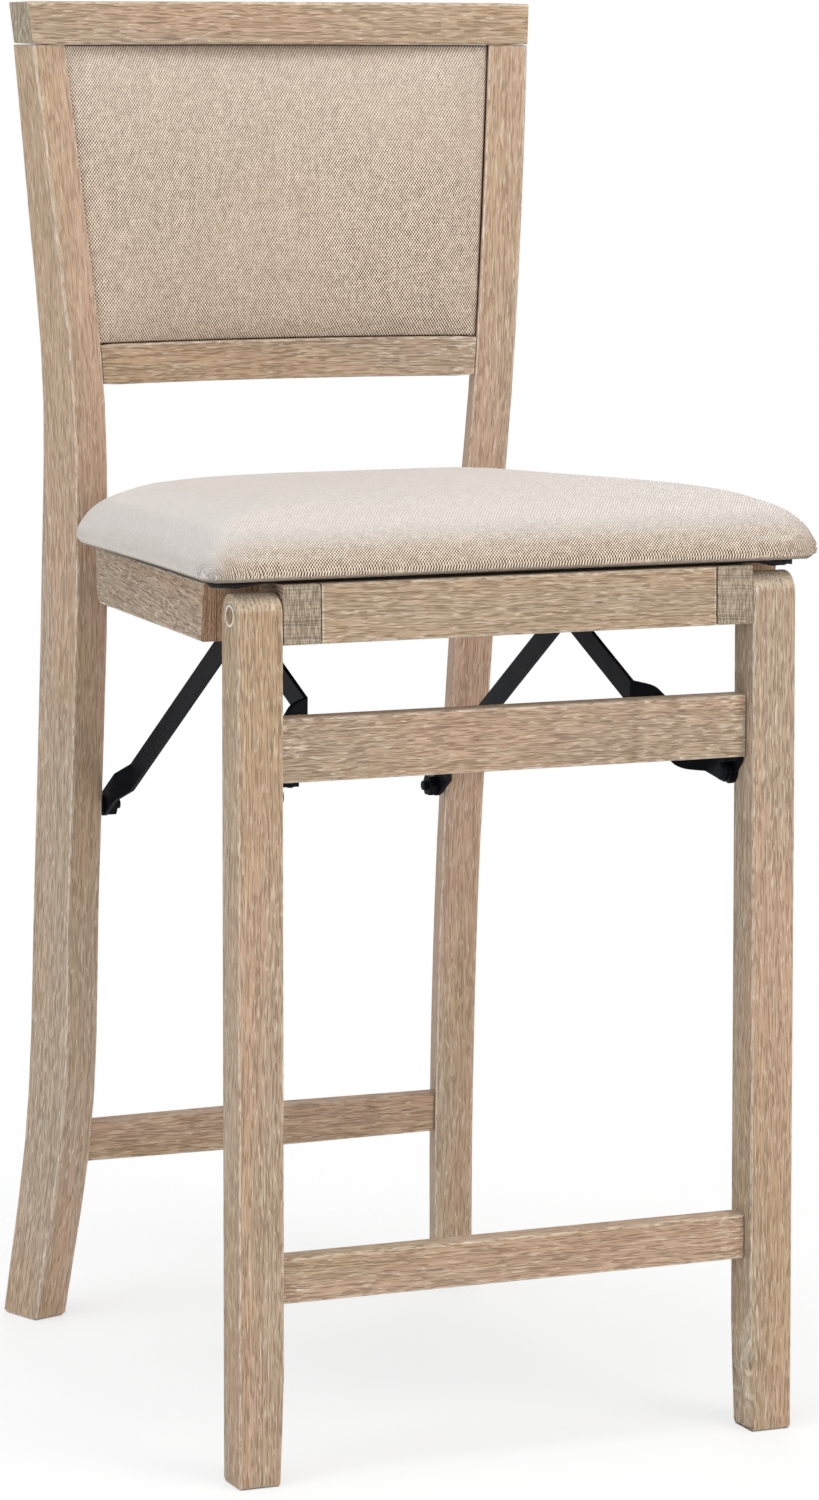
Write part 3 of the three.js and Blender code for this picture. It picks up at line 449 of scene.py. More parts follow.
def woven_linen(name, painted_light_colour, blush_tone):
    """Plain linen weave on a piece's own cloth places: pale yarns crossing over darker gaps. Each yarn
    is thicker in places. The cloth turns paler and greyer by the first cloth share that the piece carries,
    painted light on its most lit faces, and dark brown by the second, painted shade along its edges and
    under its lip."""
    material, recipe = new_finish(name)
    place = recipe.node("ShaderNodeAttribute", {"attribute_name": "cloth_place"})["Vector"]
    shares = recipe.node("ShaderNodeAttribute", {"attribute_name": "cloth_shade"})["Vector"]
    sway = recipe.noise(place * (45, 45, 0), detail=0.0) - 0.5
    warp = ((place.along("X") + sway * warp_sway) * (2 * math.pi / warp_pitch)).sine()
    weft = ((place.along("Y") - sway * weft_sway) * (2 * math.pi / weft_pitch)).sine()
    warp_yarn = recipe.noise(place * (1 / warp_pitch, 160, 0), detail=0.0, seed=2)
    weft_yarn = recipe.noise(place * (160, 2 / weft_pitch, 0), detail=0.0, seed=9)
    fuzz = recipe.noise(place * (1500, 1500, 0), detail=0.0, seed=4)
    blush = recipe.noise(place * (7, 7, 0), detail=1.0, seed=6)
    raised = warp * weft + (warp_yarn + weft_yarn - 1.0) * 0.35 + (fuzz - 0.5) * 0.5
    raised = raised.step(-0.62, 0.52)
    colour = recipe.blend(raised, linen_dark, linen_light)
    colour = recipe.blend(blush.step(0.40, 0.62) * 0.14, colour, blush_tone)
    # Painted light: the cloth turns towards a pale grey on the faces that the piece marks as most lit.
    colour = recipe.blend(shares.along("X") * 0.66, colour, painted_light_colour)
    # Painted shade: the cloth turns dark brown where the piece marks its edges and the foot of its skirt.
    colour = recipe.blend(shares.along("Y"), colour, paint(92, 71, 54))
    nap = {"Sheen Weight": 0.15, "Sheen Roughness": 0.5, "Specular IOR Level": 0.2}
    recipe.finish(colour, 0.95, raised, relief=weave_depth, constants=nap)
    return material


def merged_copy(node, name):
    """A new object with a CAD node's mesh, its loose triangles joined into one skin."""
    skin = bmesh.new()
    skin.from_mesh(nodes[node].data)
    bmesh.ops.remove_doubles(skin, verts=skin.verts, dist=1e-6)
    mesh = bpy.data.meshes.new(name)
    skin.to_mesh(mesh)
    skin.free()
    piece = bpy.data.objects.new(name, mesh)
    scene.collection.objects.link(piece)
    return piece


def made_plain(piece):
    """Applies a piece's modifiers to its mesh."""
    bpy.context.view_layer.update()
    done = bpy.data.meshes.new_from_object(piece.evaluated_get(bpy.context.evaluated_depsgraph_get()))
    piece.modifiers.clear()
    piece.data = done
    return piece


def places_of(mesh):
    places = np.zeros(len(mesh.vertices) * 3, np.float32)
    mesh.vertices.foreach_get("co", places)
    return places.reshape(-1, 3).astype(float)


def normals_of(mesh):
    normals = np.zeros(len(mesh.vertices) * 3, np.float32)
    mesh.vertex_normals.foreach_get("vector", normals)
    return normals.reshape(-1, 3).astype(float)


def move_to(mesh, places):
    mesh.vertices.foreach_set("co", places.astype(np.float32).ravel())
    mesh.update()


def rise(values, low, high):
    """0 below low and 1 above high, with a smooth rise between them."""
    share = np.clip((values - low) / (high - low), 0, 1)
    return share * share * (3 - 2 * share)


def puffed(piece, freedom, pressure, reach, slack):
    """Takes a pad in by its slack, then fills it with air as cloth, no point going further than
    reach."""
    mesh = piece.data
    start = places_of(mesh) - normals_of(mesh) * slack * freedom[:, None]
    move_to(mesh, start)
    held = piece.vertex_groups.new(name="held")
    for index, share in enumerate(1 - freedom):
        held.add([index], float(share), "REPLACE")
    cloth = piece.modifiers.new("air", "CLOTH")
    cloth.settings.vertex_group_mass = "held"
    cloth.settings.use_pressure = True
    cloth.settings.uniform_pressure_force = pressure
    cloth.settings.effector_weights.gravity = 0
    cloth.settings.quality = 5
    cloth.settings.mass = 0.3
    cloth.settings.tension_stiffness = 20
    cloth.settings.compression_stiffness = 20
    cloth.settings.bending_stiffness = 1.5
    cloth.point_cache.frame_start = 1
    cloth.point_cache.frame_end = cloth_moments
    for moment in range(1, cloth_moments + 1):
        scene.frame_set(moment)
    swollen = piece.evaluated_get(bpy.context.evaluated_depsgraph_get()).to_mesh()
    gone = places_of(swollen) - start
    length = np.linalg.norm(gone, axis=1, keepdims=True)
    gone *= np.minimum(1, reach / np.maximum(length, 1e-9))
    piece.modifiers.clear()
    piece.vertex_groups.clear()
    scene.frame_set(1)
    move_to(mesh, start + gone)


def evened(piece, share, rounds):
    """Smooths a skin by each point's own share, so that the lattice it is made on doesn't show."""
    mesh = piece.data
    pairs = np.zeros(len(mesh.edges) * 2, np.int32)
    mesh.edges.foreach_get("vertices", pairs)
    first, second = pairs.reshape(-1, 2).T
    places = places_of(mesh)
    count = np.bincount(first, minlength=len(places)) + np.bincount(second, minlength=len(places))
    for _ in range(rounds):
        total = np.zeros_like(places)
        np.add.at(total, first, places[second])
        np.add.at(total, second, places[first])
        places += (total / count[:, None] - places) * share[:, None]
    move_to(mesh, places)


def finely_divided(piece):
    modifier = piece.modifiers.new("finer", "SUBSURF")
    modifier.levels = 1
    modifier.render_levels = 1
    return made_plain(piece)


def smooth_shaded(piece):
    piece.data.polygons.foreach_set("use_smooth", [True] * len(piece.data.polygons))
    piece.data.update()


def lay_cloth(piece, cloth_places, painted_light_share, painted_shade_share, material):
    """Writes where each point lies on the flat cloth and how much painted light and painted shade it
    carries, and gives the piece its material."""
    shade = np.stack([painted_light_share, painted_shade_share, painted_light_share * 0], axis=1)
    for name, values in (("cloth_place", cloth_places), ("cloth_shade", shade)):
        attribute = piece.data.attributes.new(name, "FLOAT_VECTOR", "POINT")
        attribute.data.foreach_set("vector", values.astype(np.float32).ravel())
    piece.data.materials.clear()
    piece.data.materials.append(material)


def sheet_grid(front, rear, name):
    """A closed skin from two lattices of points that share their outline's order."""
    count_up, count_across = front.shape[:2]
    lattices = [front.reshape(-1, 3), rear.reshape(-1, 3)]
    faces = []
    for layer in (0, 1):
        base = layer * count_up * count_across
        for j in range(count_up - 1):
            for i in range(count_across - 1):
                corner = base + j * count_across + i
                loop = [corner, corner + 1, corner + 1 + count_across, corner + count_across]
                faces.append(loop if layer == 0 else loop[::-1])
    outline = [(0, i) for i in range(count_across)]
    outline += [(j, count_across - 1) for j in range(1, count_up)]
    outline += [(count_up - 1, i) for i in range(count_across - 2, -1, -1)]
    outline += [(j, 0) for j in range(count_up - 2, 0, -1)]
    edge = [j * count_across + i for j, i in outline]
    for first, second in zip(edge, edge[1:] + edge[:1]):
        other = count_up * count_across
        faces.append([second, first, first + other, second + other])
    skin = bmesh.new()
    points = [skin.verts.new(point) for point in np.vstack(lattices)]
    for face in faces:
        skin.faces.new([points[index] for index in face])
    bmesh.ops.remove_doubles(skin, verts=skin.verts, dist=1e-6)
    bmesh.ops.recalc_face_normals(skin, faces=skin.faces)
    mesh = bpy.data.meshes.new(name)
    skin.to_mesh(mesh)
    skin.free()
    piece = bpy.data.objects.new(name, mesh)
    scene.collection.objects.link(piece)
    return piece


def spaced(half, step, edge_steps):
    """Places from -half to half, a step apart, and closer together near the ends."""
    edge_places = np.cumsum(edge_steps)
    middle = half - edge_places[-1]
    inner = np.linspace(-middle, middle, int(2 * middle / step) + 1)
    outer = half - np.concatenate([[0], edge_places[:-1]])
    return np.concatenate([-outer, inner, outer[::-1]])


pad_solid = merged_copy("back_pad", "pad_solid")
pad_points = places_of(pad_solid.data)
pad_low, pad_high = pad_points.min(axis=0), pad_points.max(axis=0)
pad_levels = np.unique(np.round(pad_points[:, 2], 4))
same_level = 3e-4
pad_half_widths = [np.abs(pad_points[np.abs(pad_points[:, 2] - z) < same_level, 0]).max() for z in pad_levels]
pad_surface = BVHTree.FromObject(pad_solid, bpy.context.evaluated_depsgraph_get())
bpy.data.objects.remove(pad_solid)
pad_share_step = 0.026
pad_level_step = 0.0045
pad_edge_steps = [0.0005, 0.0007, 0.001, 0.0014, 0.002, 0.003, 0.004]
pad_rough_half = 0.165
pad_corner_radius = 0.0040
# The width of the painted shade line along the pad's outline.
pad_painted_shade_width = 0.0014
pad_half_height = (pad_high[2] - pad_low[2]) / 2
pad_middle_level = (pad_high[2] + pad_low[2]) / 2


def pad_depth(x, z, direction):
    """Where a line through the pad meets its front, or its rear."""
    inside = 0.9985
    start = Vector((x * inside, -direction, pad_middle_level + (z - pad_middle_level) * inside))
    return pad_surface.ray_cast(start, Vector((0, direction, 0)))[0].y


pad_x = spaced(1.0, pad_share_step, np.array(pad_edge_steps) / pad_rough_half)
pad_z = spaced(pad_half_height, pad_level_step, pad_edge_steps)
pad_front = np.zeros((len(pad_z), len(pad_x), 3))
pad_rear = np.zeros_like(pad_front)
for j, up in enumerate(pad_z):
    level = pad_middle_level + up
    half_width = float(np.interp(level, pad_levels, pad_half_widths))
    for i, share in enumerate(pad_x):
        x = share * half_width
        pad_rear[j, i] = x, pad_depth(x, level, -1), level
        inward = np.array([half_width - abs(x), pad_half_height - abs(up)])
        past = np.clip((pad_corner_radius - inward) / pad_corner_radius, 0, 1)
        draw = past.max() / max(np.hypot(*past), 1e-9) if past.min() > 0 else 1.0
        moved = (1 - draw) * past * pad_corner_radius
        drawn_x = x - np.sign(x) * moved[0]
        drawn_level = level - np.sign(up) * moved[1]
        pad_front[j, i] = drawn_x, pad_depth(x, level, 1), drawn_level
pad = sheet_grid(pad_front, pad_rear, "linen_back_pad")


def pad_edge_gap(places):
    """How far each point of the pad lies from its outline."""
    half_width = np.interp(places[:, 2], pad_levels, pad_half_widths)
    beside = half_width - np.abs(places[:, 0])
    above = pad_half_height - np.abs(places[:, 2] - pad_middle_level)
    at_corner = (beside < pad_corner_radius) & (above < pad_corner_radius)
    corner_gap = pad_corner_radius - np.hypot(pad_corner_radius - beside, pad_corner_radius - above)
    return np.where(at_corner, corner_gap, np.minimum(beside, above))


facing_front = rise(-normals_of(pad.data)[:, 1], 0.1, 0.6)
pad_freedom = rise(pad_edge_gap(places_of(pad.data)), 0.002, 0.02) * facing_front
puffed(pad, pad_freedom, pressure=3.0, reach=0.004, slack=0.001)
pad = finely_divided(pad)
places = places_of(pad.data)
smooth_shaded(pad)
pad_cloth = np.stack([places[:, 0], places[:, 2], places[:, 1] * 0], axis=1)
# Painted light: the pad's upper part is painted paler and greyer, as if the soft box lit it more.
pad_painted_light = rise(places[:, 2], pad_middle_level - 0.02, pad_high[2]) * 0.3
pad_gap = pad_edge_gap(places)
# Painted shade: a thin dark line along the pad's outline, where it meets the frame, and a faint darkening a
# few millimetres in.
pad_painted_edge_shade = (1 - rise(pad_gap, 0.0003, pad_painted_shade_width)) * 0.85 + (1 - rise(pad_gap, 0.0, 0.006)) * 0.08
pad_linen = woven_linen("pad_linen", paint(216, 206, 197), paint(212, 184, 164))
lay_cloth(pad, pad_cloth, pad_painted_light, np.minimum(pad_painted_edge_shade, 1), pad_linen)
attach(pad, "back_frame")
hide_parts("back_pad")


# The seat frame: two side rails sawn in plan so that they widen to the front, the front and rear
# aprons tenoned between them, and four glued corner blocks. The rails' front ends show their end
# grain beside the front apron, and their outer faces show the grain running out on a slant.
rail_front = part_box("seat_rail_right")[0].y
notch_at = rail_front + 0.008
for hand, side in hands.items():
    slant = (side * 0.047, -0.327, -0.013)
    rail_wood = brushed_wood(
        f"seat_rail_wood_{hand}", slant, seed=8, shade=0.92, bite=1.35, notch_at=notch_at
    )
    lay_on(rail_wood, f"seat_rail_{hand}")
apron_wood = brushed_wood("apron_wood", across, limed_end=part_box("front_apron")[1].x, seed=9, shade=0.98)
lay_on(apron_wood, "front_apron", "rear_apron")
block_wood = brushed_wood("block_wood", across, seed=10, shade=0.9)
lay_on(block_wood, *(f"{end}_corner_block_{hand}" for end in ("front", "rear") for hand in hands))


# The seat board and its dust cover: raw plywood, and black non-woven cloth stapled beneath it. The
# cloth shows as a dark line under the cushion, and at the front corners it hangs a little way out.
ply, recipe = new_finish("raw_plywood")
place = recipe.node("ShaderNodeTexCoord")["Object"]
ply_lines = recipe.noise(place * (20, 240, 3000), detail=2.0)
ply_colour = recipe.blend(ply_lines.step(0.4, 0.6), paint(196, 170, 128), paint(162, 132, 92))
recipe.finish(ply_colour, 0.8)
lay_on(ply, "seat_board")

felt, recipe = new_finish("black_underlining")
place = recipe.node("ShaderNodeTexCoord")["Object"]
felt_fuzz = recipe.noise(place * (1400, 1400, 1400), detail=2.0)
felt_colour = recipe.blend(felt_fuzz.step(0.4, 0.7), paint(16, 16, 17), paint(34, 34, 36))
recipe.finish(felt_colour, 0.95, felt_fuzz, relief=0.0003)


# The seat cushion: foam over the board, in the same linen, pulled down over the edge and stapled
# beneath. It is crowned, the staples draw its sides in a little between the corners, and the cloth
# gathers in small pleats where it turns under at the front corners.
seat_pivot = Vector(next(joint["pos_m"] for joint in frame["joints"] if joint["name"] == "leg_fold"))
seat_slope = math.radians(2.1)


def on_seat(places):
    """Places measured from the leg pivots' axis, in line with the sloping seat."""
    y = places[:, 1] - seat_pivot.y
    z = places[:, 2] - seat_pivot.z
    level_y = y * math.cos(seat_slope) - z * math.sin(seat_slope)
    level_z = y * math.sin(seat_slope) + z * math.cos(seat_slope)
    return np.stack([places[:, 0], level_y, level_z], axis=1)


def off_seat(places):
    """The other way round."""
    y = places[:, 1] * math.cos(seat_slope) + places[:, 2] * math.sin(seat_slope)
    z = places[:, 2] * math.cos(seat_slope) - places[:, 1] * math.sin(seat_slope)
    return np.stack([places[:, 0], y + seat_pivot.y, z + seat_pivot.z], axis=1)


cushion_local = on_seat(places_of(nodes["seat_cushion"].data))
cushion_low, cushion_high = cushion_local.min(axis=0), cushion_local.max(axis=0)
cushion_front_half = 0.2325
cushion_rear_half = 0.1849
cushion_round = 0.030
cushion_pocket_inset = 0.0187
board_top = on_seat(places_of(nodes["seat_board"].data))[:, 2].max() + 0.0004
cushion_insets = [0.0070, 0.0024, 0.0006, 0.0, 0.0027, 0.0100, 0.0220, 0.0420, 0.0700, 0.1080]
cushion_rise_shares = [0.0, 0.075, 0.17, 0.26, 0.40, 0.56, 0.69, 0.80, 0.885, 0.95]
cushion_draw = 0.003


def seat_ring(inset, draw, turns, tightness):
    """The seat's rounded outline drawn in by an inset, at shares of the way round it. The middles of its
    sides are drawn in by a further draw."""
    front, rear = cushion_low[1] + inset, cushion_high[1] - inset
    corners = np.array([
        [cushion_front_half - inset, front], [cushion_rear_half - inset, rear],
        [inset - cushion_rear_half, rear], [inset - cushion_front_half, front],
    ])
    radius = max(cushion_round - inset / 2, cushion_round / 2) * tightness
    ring = []
    for turn in turns:
        side, share = int(turn) % 4, turn % 1
        start, end, after = corners[side], corners[(side + 1) % 4], corners[(side + 2) % 4]
        along = (end - start) / np.linalg.norm(end - start)
        length = np.linalg.norm(end - start)
        point = start + along * share * length
        inward = np.array([-along[1], along[0]])
        near = min(share, 1 - share) * length
        if near < radius:
            corner = start if share < 0.5 else end
            before = corners[(side + 3) % 4] if share < 0.5 else after
            other = (before - corner) / np.linalg.norm(before - corner)
            own = along if share < 0.5 else -along
            t = 0.5 + near / radius / 2
            point = corner + other * radius * (1 - t) ** 2 + own * radius * t ** 2
        ring.append(point + inward * draw * math.sin(share * math.pi))
    return np.array(ring)


def seat_lattice(cells, profile):
    """A square lattice laid over the seat. Its rings follow the outline, as profile says for each ring's
    share of the way out: an inset, a scale about the middle, a dip of the sides, a level, and how tight
    its corners are."""
    steps = np.linspace(-1, 1, cells + 1)
    x, y = np.meshgrid(steps, steps)
    outward = np.maximum(np.abs(x), np.abs(y))
    safe = np.maximum(outward, 1e-9)
    edge = outward - 1e-9
    turns = np.select(
        [(x >= edge) & (y < edge), (y >= edge) & (x > -edge), (x <= -edge) & (y > -edge)],
        [0.5 + y / safe / 2, 1.5 - x / safe / 2, 2.5 - y / safe / 2],
        3.5 + x / safe / 2,
    )
    middle = np.array([0, (cushion_low[1] + cushion_high[1]) / 2])
    lattice = np.zeros((cells + 1, cells + 1, 3))
    for index in range(cells // 2 + 1):
        inset, scale, dip, level, tightness = profile(index / (cells // 2))
        chosen = np.abs(outward - index / (cells // 2)) < 1e-6
        ring = middle + (seat_ring(inset, dip, turns[chosen], tightness) - middle) * scale
        lattice[chosen] = np.column_stack([ring, np.full(len(ring), level)])
    return off_seat(lattice.reshape(-1, 3)).reshape(lattice.shape)


cushion_cells = 88
cushion_fall_shares = [0, 0.03, 0.065, 0.10, 0.14, 0.19, 0.26, 0.36, 0.50, 0.66, 1.0]
cushion_middle_inset = 0.1931
cushion_foot_tightness = 0.8
cushion_tight_share = 0.35


def cushion_top(reach):
    inset = np.interp(1 - reach, cushion_fall_shares, cushion_insets + [cushion_middle_inset])
    height = np.interp(1 - reach, cushion_fall_shares, cushion_rise_shares + [1.0])
    last = cushion_insets[-1]
    scale = min(1.0, (cushion_middle_inset - inset) / (cushion_middle_inset - last))
    level = cushion_low[2] + (cushion_high[2] - cushion_low[2]) * height
    tightness = np.interp(height, [0, cushion_tight_share], [cushion_foot_tightness, 1.0])
    return min(inset, last), scale, cushion_draw * (1 - height), level, tightness


def cushion_underside(reach):
    lip = 1 - 2 / cushion_cells
    if reach > lip + 0.001:
        return cushion_insets[0], 1.0, cushion_draw, cushion_low[2], cushion_foot_tightness
    wall = 1 - 4 / cushion_cells
    level = cushion_low[2] if reach > wall + 0.001 else board_top
    return cushion_pocket_inset, min(1.0, reach / wall), 0.0, level, 1.0


cushion_above = seat_lattice(cushion_cells, cushion_top)
cushion_beneath = seat_lattice(cushion_cells, cushion_underside)
cushion = sheet_grid(cushion_above, cushion_beneath, "linen_seat_cushion")
local = on_seat(places_of(cushion.data))
upward = normals_of(cushion.data)[:, 2]
loose = rise(local[:, 2], cushion_low[2] + 0.002, cushion_low[2] + 0.016) * rise(upward, -0.35, -0.05)
evened(cushion, 0.5 * loose, 8)
puffed(cushion, loose, pressure=4.0, reach=0.0012, slack=0.0005)
cushion = finely_divided(cushion)
local = on_seat(places_of(cushion.data))
normals = normals_of(cushion.data)
outward = normals[:, :2] / np.maximum(np.linalg.norm(normals[:, :2], axis=1, keepdims=True), 1e-6)
pleat_length = 0.0105
pleat_depth = 0.0012
pleats_across = (0.165, 0.210)
pleats_ahead = (-0.03, 0.012)
around = local[:, 0] * np.abs(outward[:, 1]) - local[:, 1] * outward[:, 0]
near_corner = rise(np.abs(local[:, 0]), *pleats_across) * rise(-local[:, 1], *pleats_ahead)
near_skirt = 1 - rise(local[:, 2], cushion_low[2] + 0.004, cushion_low[2] + 0.020)
near_skirt *= rise(normals[:, 2], -0.9, -0.5)
pleats = np.sin(around * 2 * math.pi / pleat_length) * near_corner * near_skirt * pleat_depth
local[:, :2] += outward * pleats[:, None]
move_to(cushion.data, off_seat(local))
smooth_shaded(cushion)
shoulder_share = 0.62
shoulder_level = cushion_low[2] + (cushion_high[2] - cushion_low[2]) * shoulder_share
drop = np.maximum(shoulder_level - local[:, 2], 0) * rise(np.linalg.norm(normals[:, :2], axis=1), 0.2, 0.8)
flat_places = local[:, :2] + outward * drop[:, None]
cushion_cloth = np.column_stack([flat_places, drop * 0])
# Painted light: the faces that look up and those that look to the left are painted paler and greyer, for the
# soft box above and the cool lamp to the left.
cushion_painted_light = rise(normals[:, 2], 0.25, 0.95) * 0.9 + rise(-normals[:, 0], 0.2, 0.8) * 0.8
# Painted shade: the foot of the skirt, where the cloth turns under, is painted darker.
cushion_painted_under_shade = (1 - rise(local[:, 2], cushion_low[2], cushion_low[2] + 0.004)) * 0.35
seat_linen = woven_linen("seat_linen", paint(228, 223, 220), paint(214, 190, 168))
lay_cloth(cushion, cushion_cloth, np.minimum(cushion_painted_light, 1), cushion_painted_under_shade, seat_linen)
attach(cushion, "seat")
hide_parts("seat_cushion")

felt_cells = 64
felt_local = on_seat(places_of(nodes["dust_cover"].data))
felt_low, felt_high = felt_local[:, 2].min(), felt_local[:, 2].max()
felt_inset = 0.0150
felt_width = 0.09
felt_rim_share = 0.15
felt_top_drop = 0.0003
felt_bottom_drop = 0.0012
felt_sag = 0.0028
felt_sag_across = (0.184, 0.198)
felt_sag_behind = (0.012, 0.030)
felt_clearance = 0.0008


def felt_layer(upper):
    def profile(reach):
        inset = felt_inset + (1 - reach) * felt_width
        beyond_board = inset < cushion_pocket_inset - felt_clearance
        outer_level = cushion_low[2] - (felt_top_drop if upper else felt_bottom_drop)
        level = outer_level if beyond_board else (felt_high if upper else felt_low)
        rim_inset = felt_inset + felt_rim_share * felt_width
        return min(inset, rim_inset), min(1.0, reach / (1 - felt_rim_share)), 0.0, level, 1.0
    return profile


felt_above = seat_lattice(felt_cells, felt_layer(True))
felt_beneath = seat_lattice(felt_cells, felt_layer(False))
underlining = sheet_grid(felt_above, felt_beneath, "black_underlining")
local = on_seat(places_of(underlining.data))
over_leg = rise(np.abs(local[:, 0]), *felt_sag_across) * (1 - rise(local[:, 1], *felt_sag_behind))
hanging = local[:, 2] < cushion_low[2] - felt_clearance
ruffle = 0.75 + 0.25 * np.sin(local[:, 0] * 420 + local[:, 1] * 300)
local[:, 2] -= over_leg * hanging * felt_sag * ruffle
move_to(underlining.data, off_seat(local))
smooth_shaded(underlining)
underlining.data.materials.append(felt)
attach(underlining, "seat")
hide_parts("dust_cover")


# The front frame: two straight legs with half-round tops that hang on the pivot bolts, the upper
# front rail and the foot bar. A turned wood plug closes each bolt hole, with filler rubbed in round it.
def smoothly_turned(node, name, arris=0.0):
    """Stands for a rigid CAD node with the same shape, its round parts smooth and its edges just broken."""
    piece = merged_copy(node, name)
    if arris:
        bevel = piece.modifiers.new("broken_edges", "BEVEL")
        bevel.width = arris
        bevel.segments = 2
        bevel.limit_method = "ANGLE"
        bevel.angle_limit = math.radians(35)
        bevel.use_clamp_overlap = True
    smooth_shaded(piece)
    weighted = piece.modifiers.new("even_shading", "WEIGHTED_NORMAL")
    weighted.weight = 100
    weighted.thresh = 0.01
    made_plain(piece)
    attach(piece, nodes[node]["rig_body"])
    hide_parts(node)
    return piece


leg_wood = brushed_wood("leg_wood", upright, seed=12, bite=0.9)
for hand in hands:
    leg = smoothly_turned(f"front_leg_{hand}", f"leg_{hand}")
    leg.data.materials.clear()
    leg.data.materials.append(leg_wood)
front_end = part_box("upper_front_rail")[1].x
lay_on(brushed_wood("upper_rail_wood", across, limed_end=front_end, seed=13), "upper_front_rail")
lay_on(brushed_wood("foot_bar_wood", across, limed_end=front_end, seed=15, shade=0.98), "footrest_stretcher")
plug_low, plug_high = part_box("leg_plug_right")
plug_radius = (plug_high.z - plug_low.z) / 2
plug_wood, recipe = new_finish("plug_wood")
place = recipe.node("ShaderNodeTexCoord")["Object"]
from_pivot = (place - tuple(seat_pivot)) * (0, 1, 1)
ring = recipe.node("ShaderNodeVectorMath", {"operation": "LENGTH"}, {0: from_pivot})["Value"] / plug_radius
plug_grain = recipe.noise(place * (60, 900, 250), detail=1.0)
plug_tone = recipe.blend(plug_grain.step(0.40, 0.60), paint(112, 84, 62), paint(158, 128, 100))
ragged = recipe.noise(place * (500, 500, 500), detail=1.0) - 0.5
plug_colour = recipe.blend((ring + ragged * 0.22).step(0.74, 0.84), plug_tone, paint(222, 212, 196))
recipe.finish(plug_colour, 0.7, plug_grain, relief=0.0005)
lay_on(plug_wood, "leg_plug_left", "leg_plug_right")


# The braces and their fittings: flat steel straps, brackets, rivets, bolts and nuts, blanked and bent,
# then dipped in semi-gloss black, which lies slightly uneven on the flats.
steel, recipe = new_finish("black_steel_paint")
place = recipe.node("ShaderNodeTexCoord")["Object"]
orange_peel = recipe.noise(place * (700, 700, 700), detail=2.0)
smears = recipe.noise(place * (45, 45, 45), detail=3.0, seed=3)
steel_colour = recipe.blend(smears.step(0.35, 0.7), paint(12, 13, 17), paint(19, 22, 29))
steel_dullness = 0.42 + smears * 0.20
steel_sheen = {"Specular IOR Level": 0.06}
recipe.finish(steel_colour, steel_dullness, orange_peel, relief=0.0002, constants=steel_sheen)
steel_arrises = {
    "rear_brace": 0.0005,
    "front_brace": 0.0005,
    "apex_rivet": 0.0006,
    "brace_bracket": 0.0004,
    "bracket_pin": 0.0006,
    "post_pivot_bolt": 0.0004,
    "post_pivot_nut": 0.0003,
    "seat_rest": 0.0004,
    "seat_stud": 0.0005,
}

# The brackets' flanges end here, a little shorter than those of the solids.
flange_end = 0.1575
for name, arris in steel_arrises.items():
    for hand in hands:
        fitting = smoothly_turned(f"{name}_{hand}", f"painted_{name}_{hand}", arris=arris)
        if name == "brace_bracket":
            places = places_of(fitting.data)
            inner = np.abs(places[:, 0]) < flange_end
            places[inner, 0] = np.sign(places[inner, 0]) * flange_end
            move_to(fitting.data, places)
        fitting.data.materials.clear()
        fitting.data.materials.append(steel)
lay_on(steel, "leg_pivot_bolt_left", "leg_pivot_bolt_right")

brass, recipe = new_finish("plain_brass")
place = recipe.node("ShaderNodeTexCoord")["Object"]
tarnish = recipe.noise(place * (300, 300, 300), detail=2.0)
brass_colour = recipe.blend(tarnish, paint(196, 158, 92), paint(158, 122, 66))
recipe.finish(brass_colour, 0.38, constants={"Metallic": 1.0})
lay_on(brass, "leg_pivot_insert_left", "leg_pivot_insert_right")


# The screws: small button-headed steel screws with a hexagon socket, cold-pressed and painted black. They
# hold the brackets to the upper front rail and the corner blocks to the seat board.
screw_head_radius = 0.0028
bracket_screw_from_flange_end = 0.0036
bracket_screw_from_front = 0.0072
block_screw_inset = 0.007
below_seat = 0.3
head_sides = 12
head_rings = [(1.0, 0.0), (1.0, 0.14), (0.93, 0.32), (0.74, 0.50), (0.50, 0.56), (0.46, 0.50), (0.44, 0.16)]
socket_from = 4
ring_points = []
for ring, (reach, level) in enumerate(head_rings):
    for side in range(head_sides):
        flat = math.cos(math.pi / 6) if ring >= socket_from and side % 2 else 1.0
        angle = side * 2 * math.pi / head_sides
        ring_points.append((reach * flat * math.cos(angle), reach * flat * math.sin(angle), level))
last_ring = (len(head_rings) - 1) * head_sides
head_faces = [list(range(head_sides))[::-1], [last_ring + side for side in range(head_sides)]]
for ring in range(len(head_rings) - 1):
    for side in range(head_sides):
        low_left = ring * head_sides + side
        low_right = ring * head_sides + (side + 1) % head_sides
        head_faces.append([low_left, low_right, low_right + head_sides, low_left + head_sides])
head_mesh = bpy.data.meshes.new("button_head")
head_mesh.from_pydata(ring_points, [], head_faces)
head = bpy.data.objects.new("button_head", head_mesh)

screw_tree = bpy.data.node_groups.new("screws", "GeometryNodeTree")
screw_tree.is_modifier = True
screw_inputs = {
    "Places": "Geometry",
    "Head": "Object",
    "Size": "Float",
    "Turn Seed": "Int",
    "Finish": "Material",
}
screw_sockets = {}
for label, kind in screw_inputs.items():
    socket = screw_tree.interface.new_socket(name=label, in_out="INPUT", socket_type=f"NodeSocket{kind}")
    screw_sockets[label] = socket.identifier
screw_tree.interface.new_socket(name="Screws", in_out="OUTPUT", socket_type="NodeSocketGeometry")
recipe = Recipe(screw_tree)
given = recipe.node("NodeGroupInput")
master = recipe.node("GeometryNodeObjectInfo", {}, {"Object": given["Head"]})["Geometry"]
vector_kind = {"data_type": "FLOAT_VECTOR"}
facing = recipe.node("GeometryNodeInputNamedAttribute", vector_kind, {"Name": "facing"})["Attribute"]
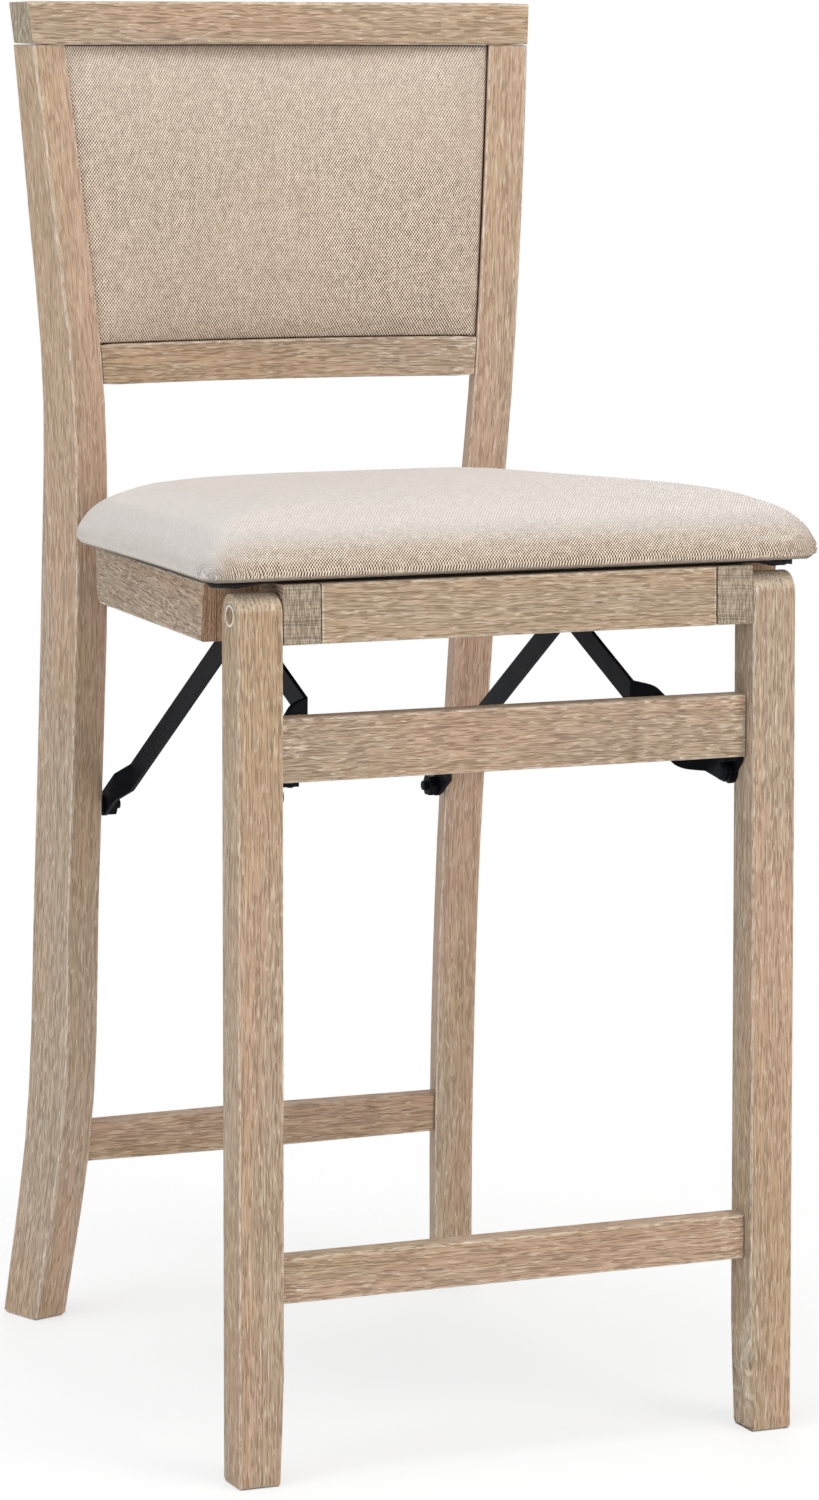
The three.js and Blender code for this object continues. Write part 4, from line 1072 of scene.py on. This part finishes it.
upright_turn = recipe.node("FunctionNodeAlignRotationToVector", {"axis": "Z"}, {"Vector": facing})["Rotation"]
chance = {"Min_001": 0.0, "Max_001": 2 * math.pi, "Seed": given["Turn Seed"]}
angle = recipe.node("FunctionNodeRandomValue", {"data_type": "FLOAT"}, chance)["Value"]
spin = recipe.node("FunctionNodeAxisAngleToRotation", {}, {"Axis": upright, "Angle": angle})["Rotation"]
turned = {"Rotation": upright_turn, "Rotate By": spin}
turned = recipe.node("FunctionNodeRotateRotation", {"rotation_space": "LOCAL"}, turned)["Rotation"]
sizes = {axis: given["Size"] for axis in "XYZ"}
size = recipe.node("ShaderNodeCombineXYZ", {}, sizes)["Vector"]
values = {"Points": given["Places"], "Instance": master, "Rotation": turned, "Scale": size}
heads = recipe.node("GeometryNodeInstanceOnPoints", {}, values)["Instances"]
heads = recipe.node("GeometryNodeRealizeInstances", {}, {"Geometry": heads})["Geometry"]
painted = {"Geometry": heads, "Material": given["Finish"]}
heads = recipe.node("GeometryNodeSetMaterial", {}, painted)["Geometry"]
recipe.node("NodeGroupOutput", {}, {"Screws": heads})


def under_face(node, x, y):
    """A screw's place on a node's underside, and the way that it faces."""
    mesh = nodes[node].data
    surface = BVHTree.FromPolygons([v.co for v in mesh.vertices], [p.vertices for p in mesh.polygons])
    place, normal = surface.ray_cast(Vector((x, y, below_seat)), Vector(upright))[:2]
    return place, -normal if normal.z > 0 else normal


screw_places = {"front_frame": [], "seat": []}
for hand, side in hands.items():
    bracket = f"brace_bracket_{hand}"
    x = side * (flange_end + bracket_screw_from_flange_end)
    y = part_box(bracket)[0].y + bracket_screw_from_front
    screw_places["front_frame"].append(under_face(bracket, x, y))
    for end in ("front", "rear"):
        block = f"{end}_corner_block_{hand}"
        low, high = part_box(block)
        x = side * (max(abs(low.x), abs(high.x)) - block_screw_inset)
        y = low.y + block_screw_inset if end == "front" else high.y - block_screw_inset
        screw_places["seat"].append(under_face(block, x, y))
for body, found in screw_places.items():
    mesh = bpy.data.meshes.new(f"screws_of_{body}")
    mesh.from_pydata([place for place, _ in found], [], [])
    attribute = mesh.attributes.new("facing", "FLOAT_VECTOR", "POINT")
    attribute.data.foreach_set("vector", np.array([way for _, way in found]).ravel())
    screws = bpy.data.objects.new(f"screws_of_{body}", mesh)
    scene.collection.objects.link(screws)
    modifier = screws.modifiers.new("screws", "NODES")
    modifier.node_group = screw_tree
    inputs = {"Head": head, "Size": screw_head_radius, "Turn Seed": len(found), "Finish": steel}
    for label, value in inputs.items():
        modifier[screw_sockets[label]] = value
    made_plain(screws)
    smooth_shaded(screws)
    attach(screws, body)
bpy.data.objects.remove(head)
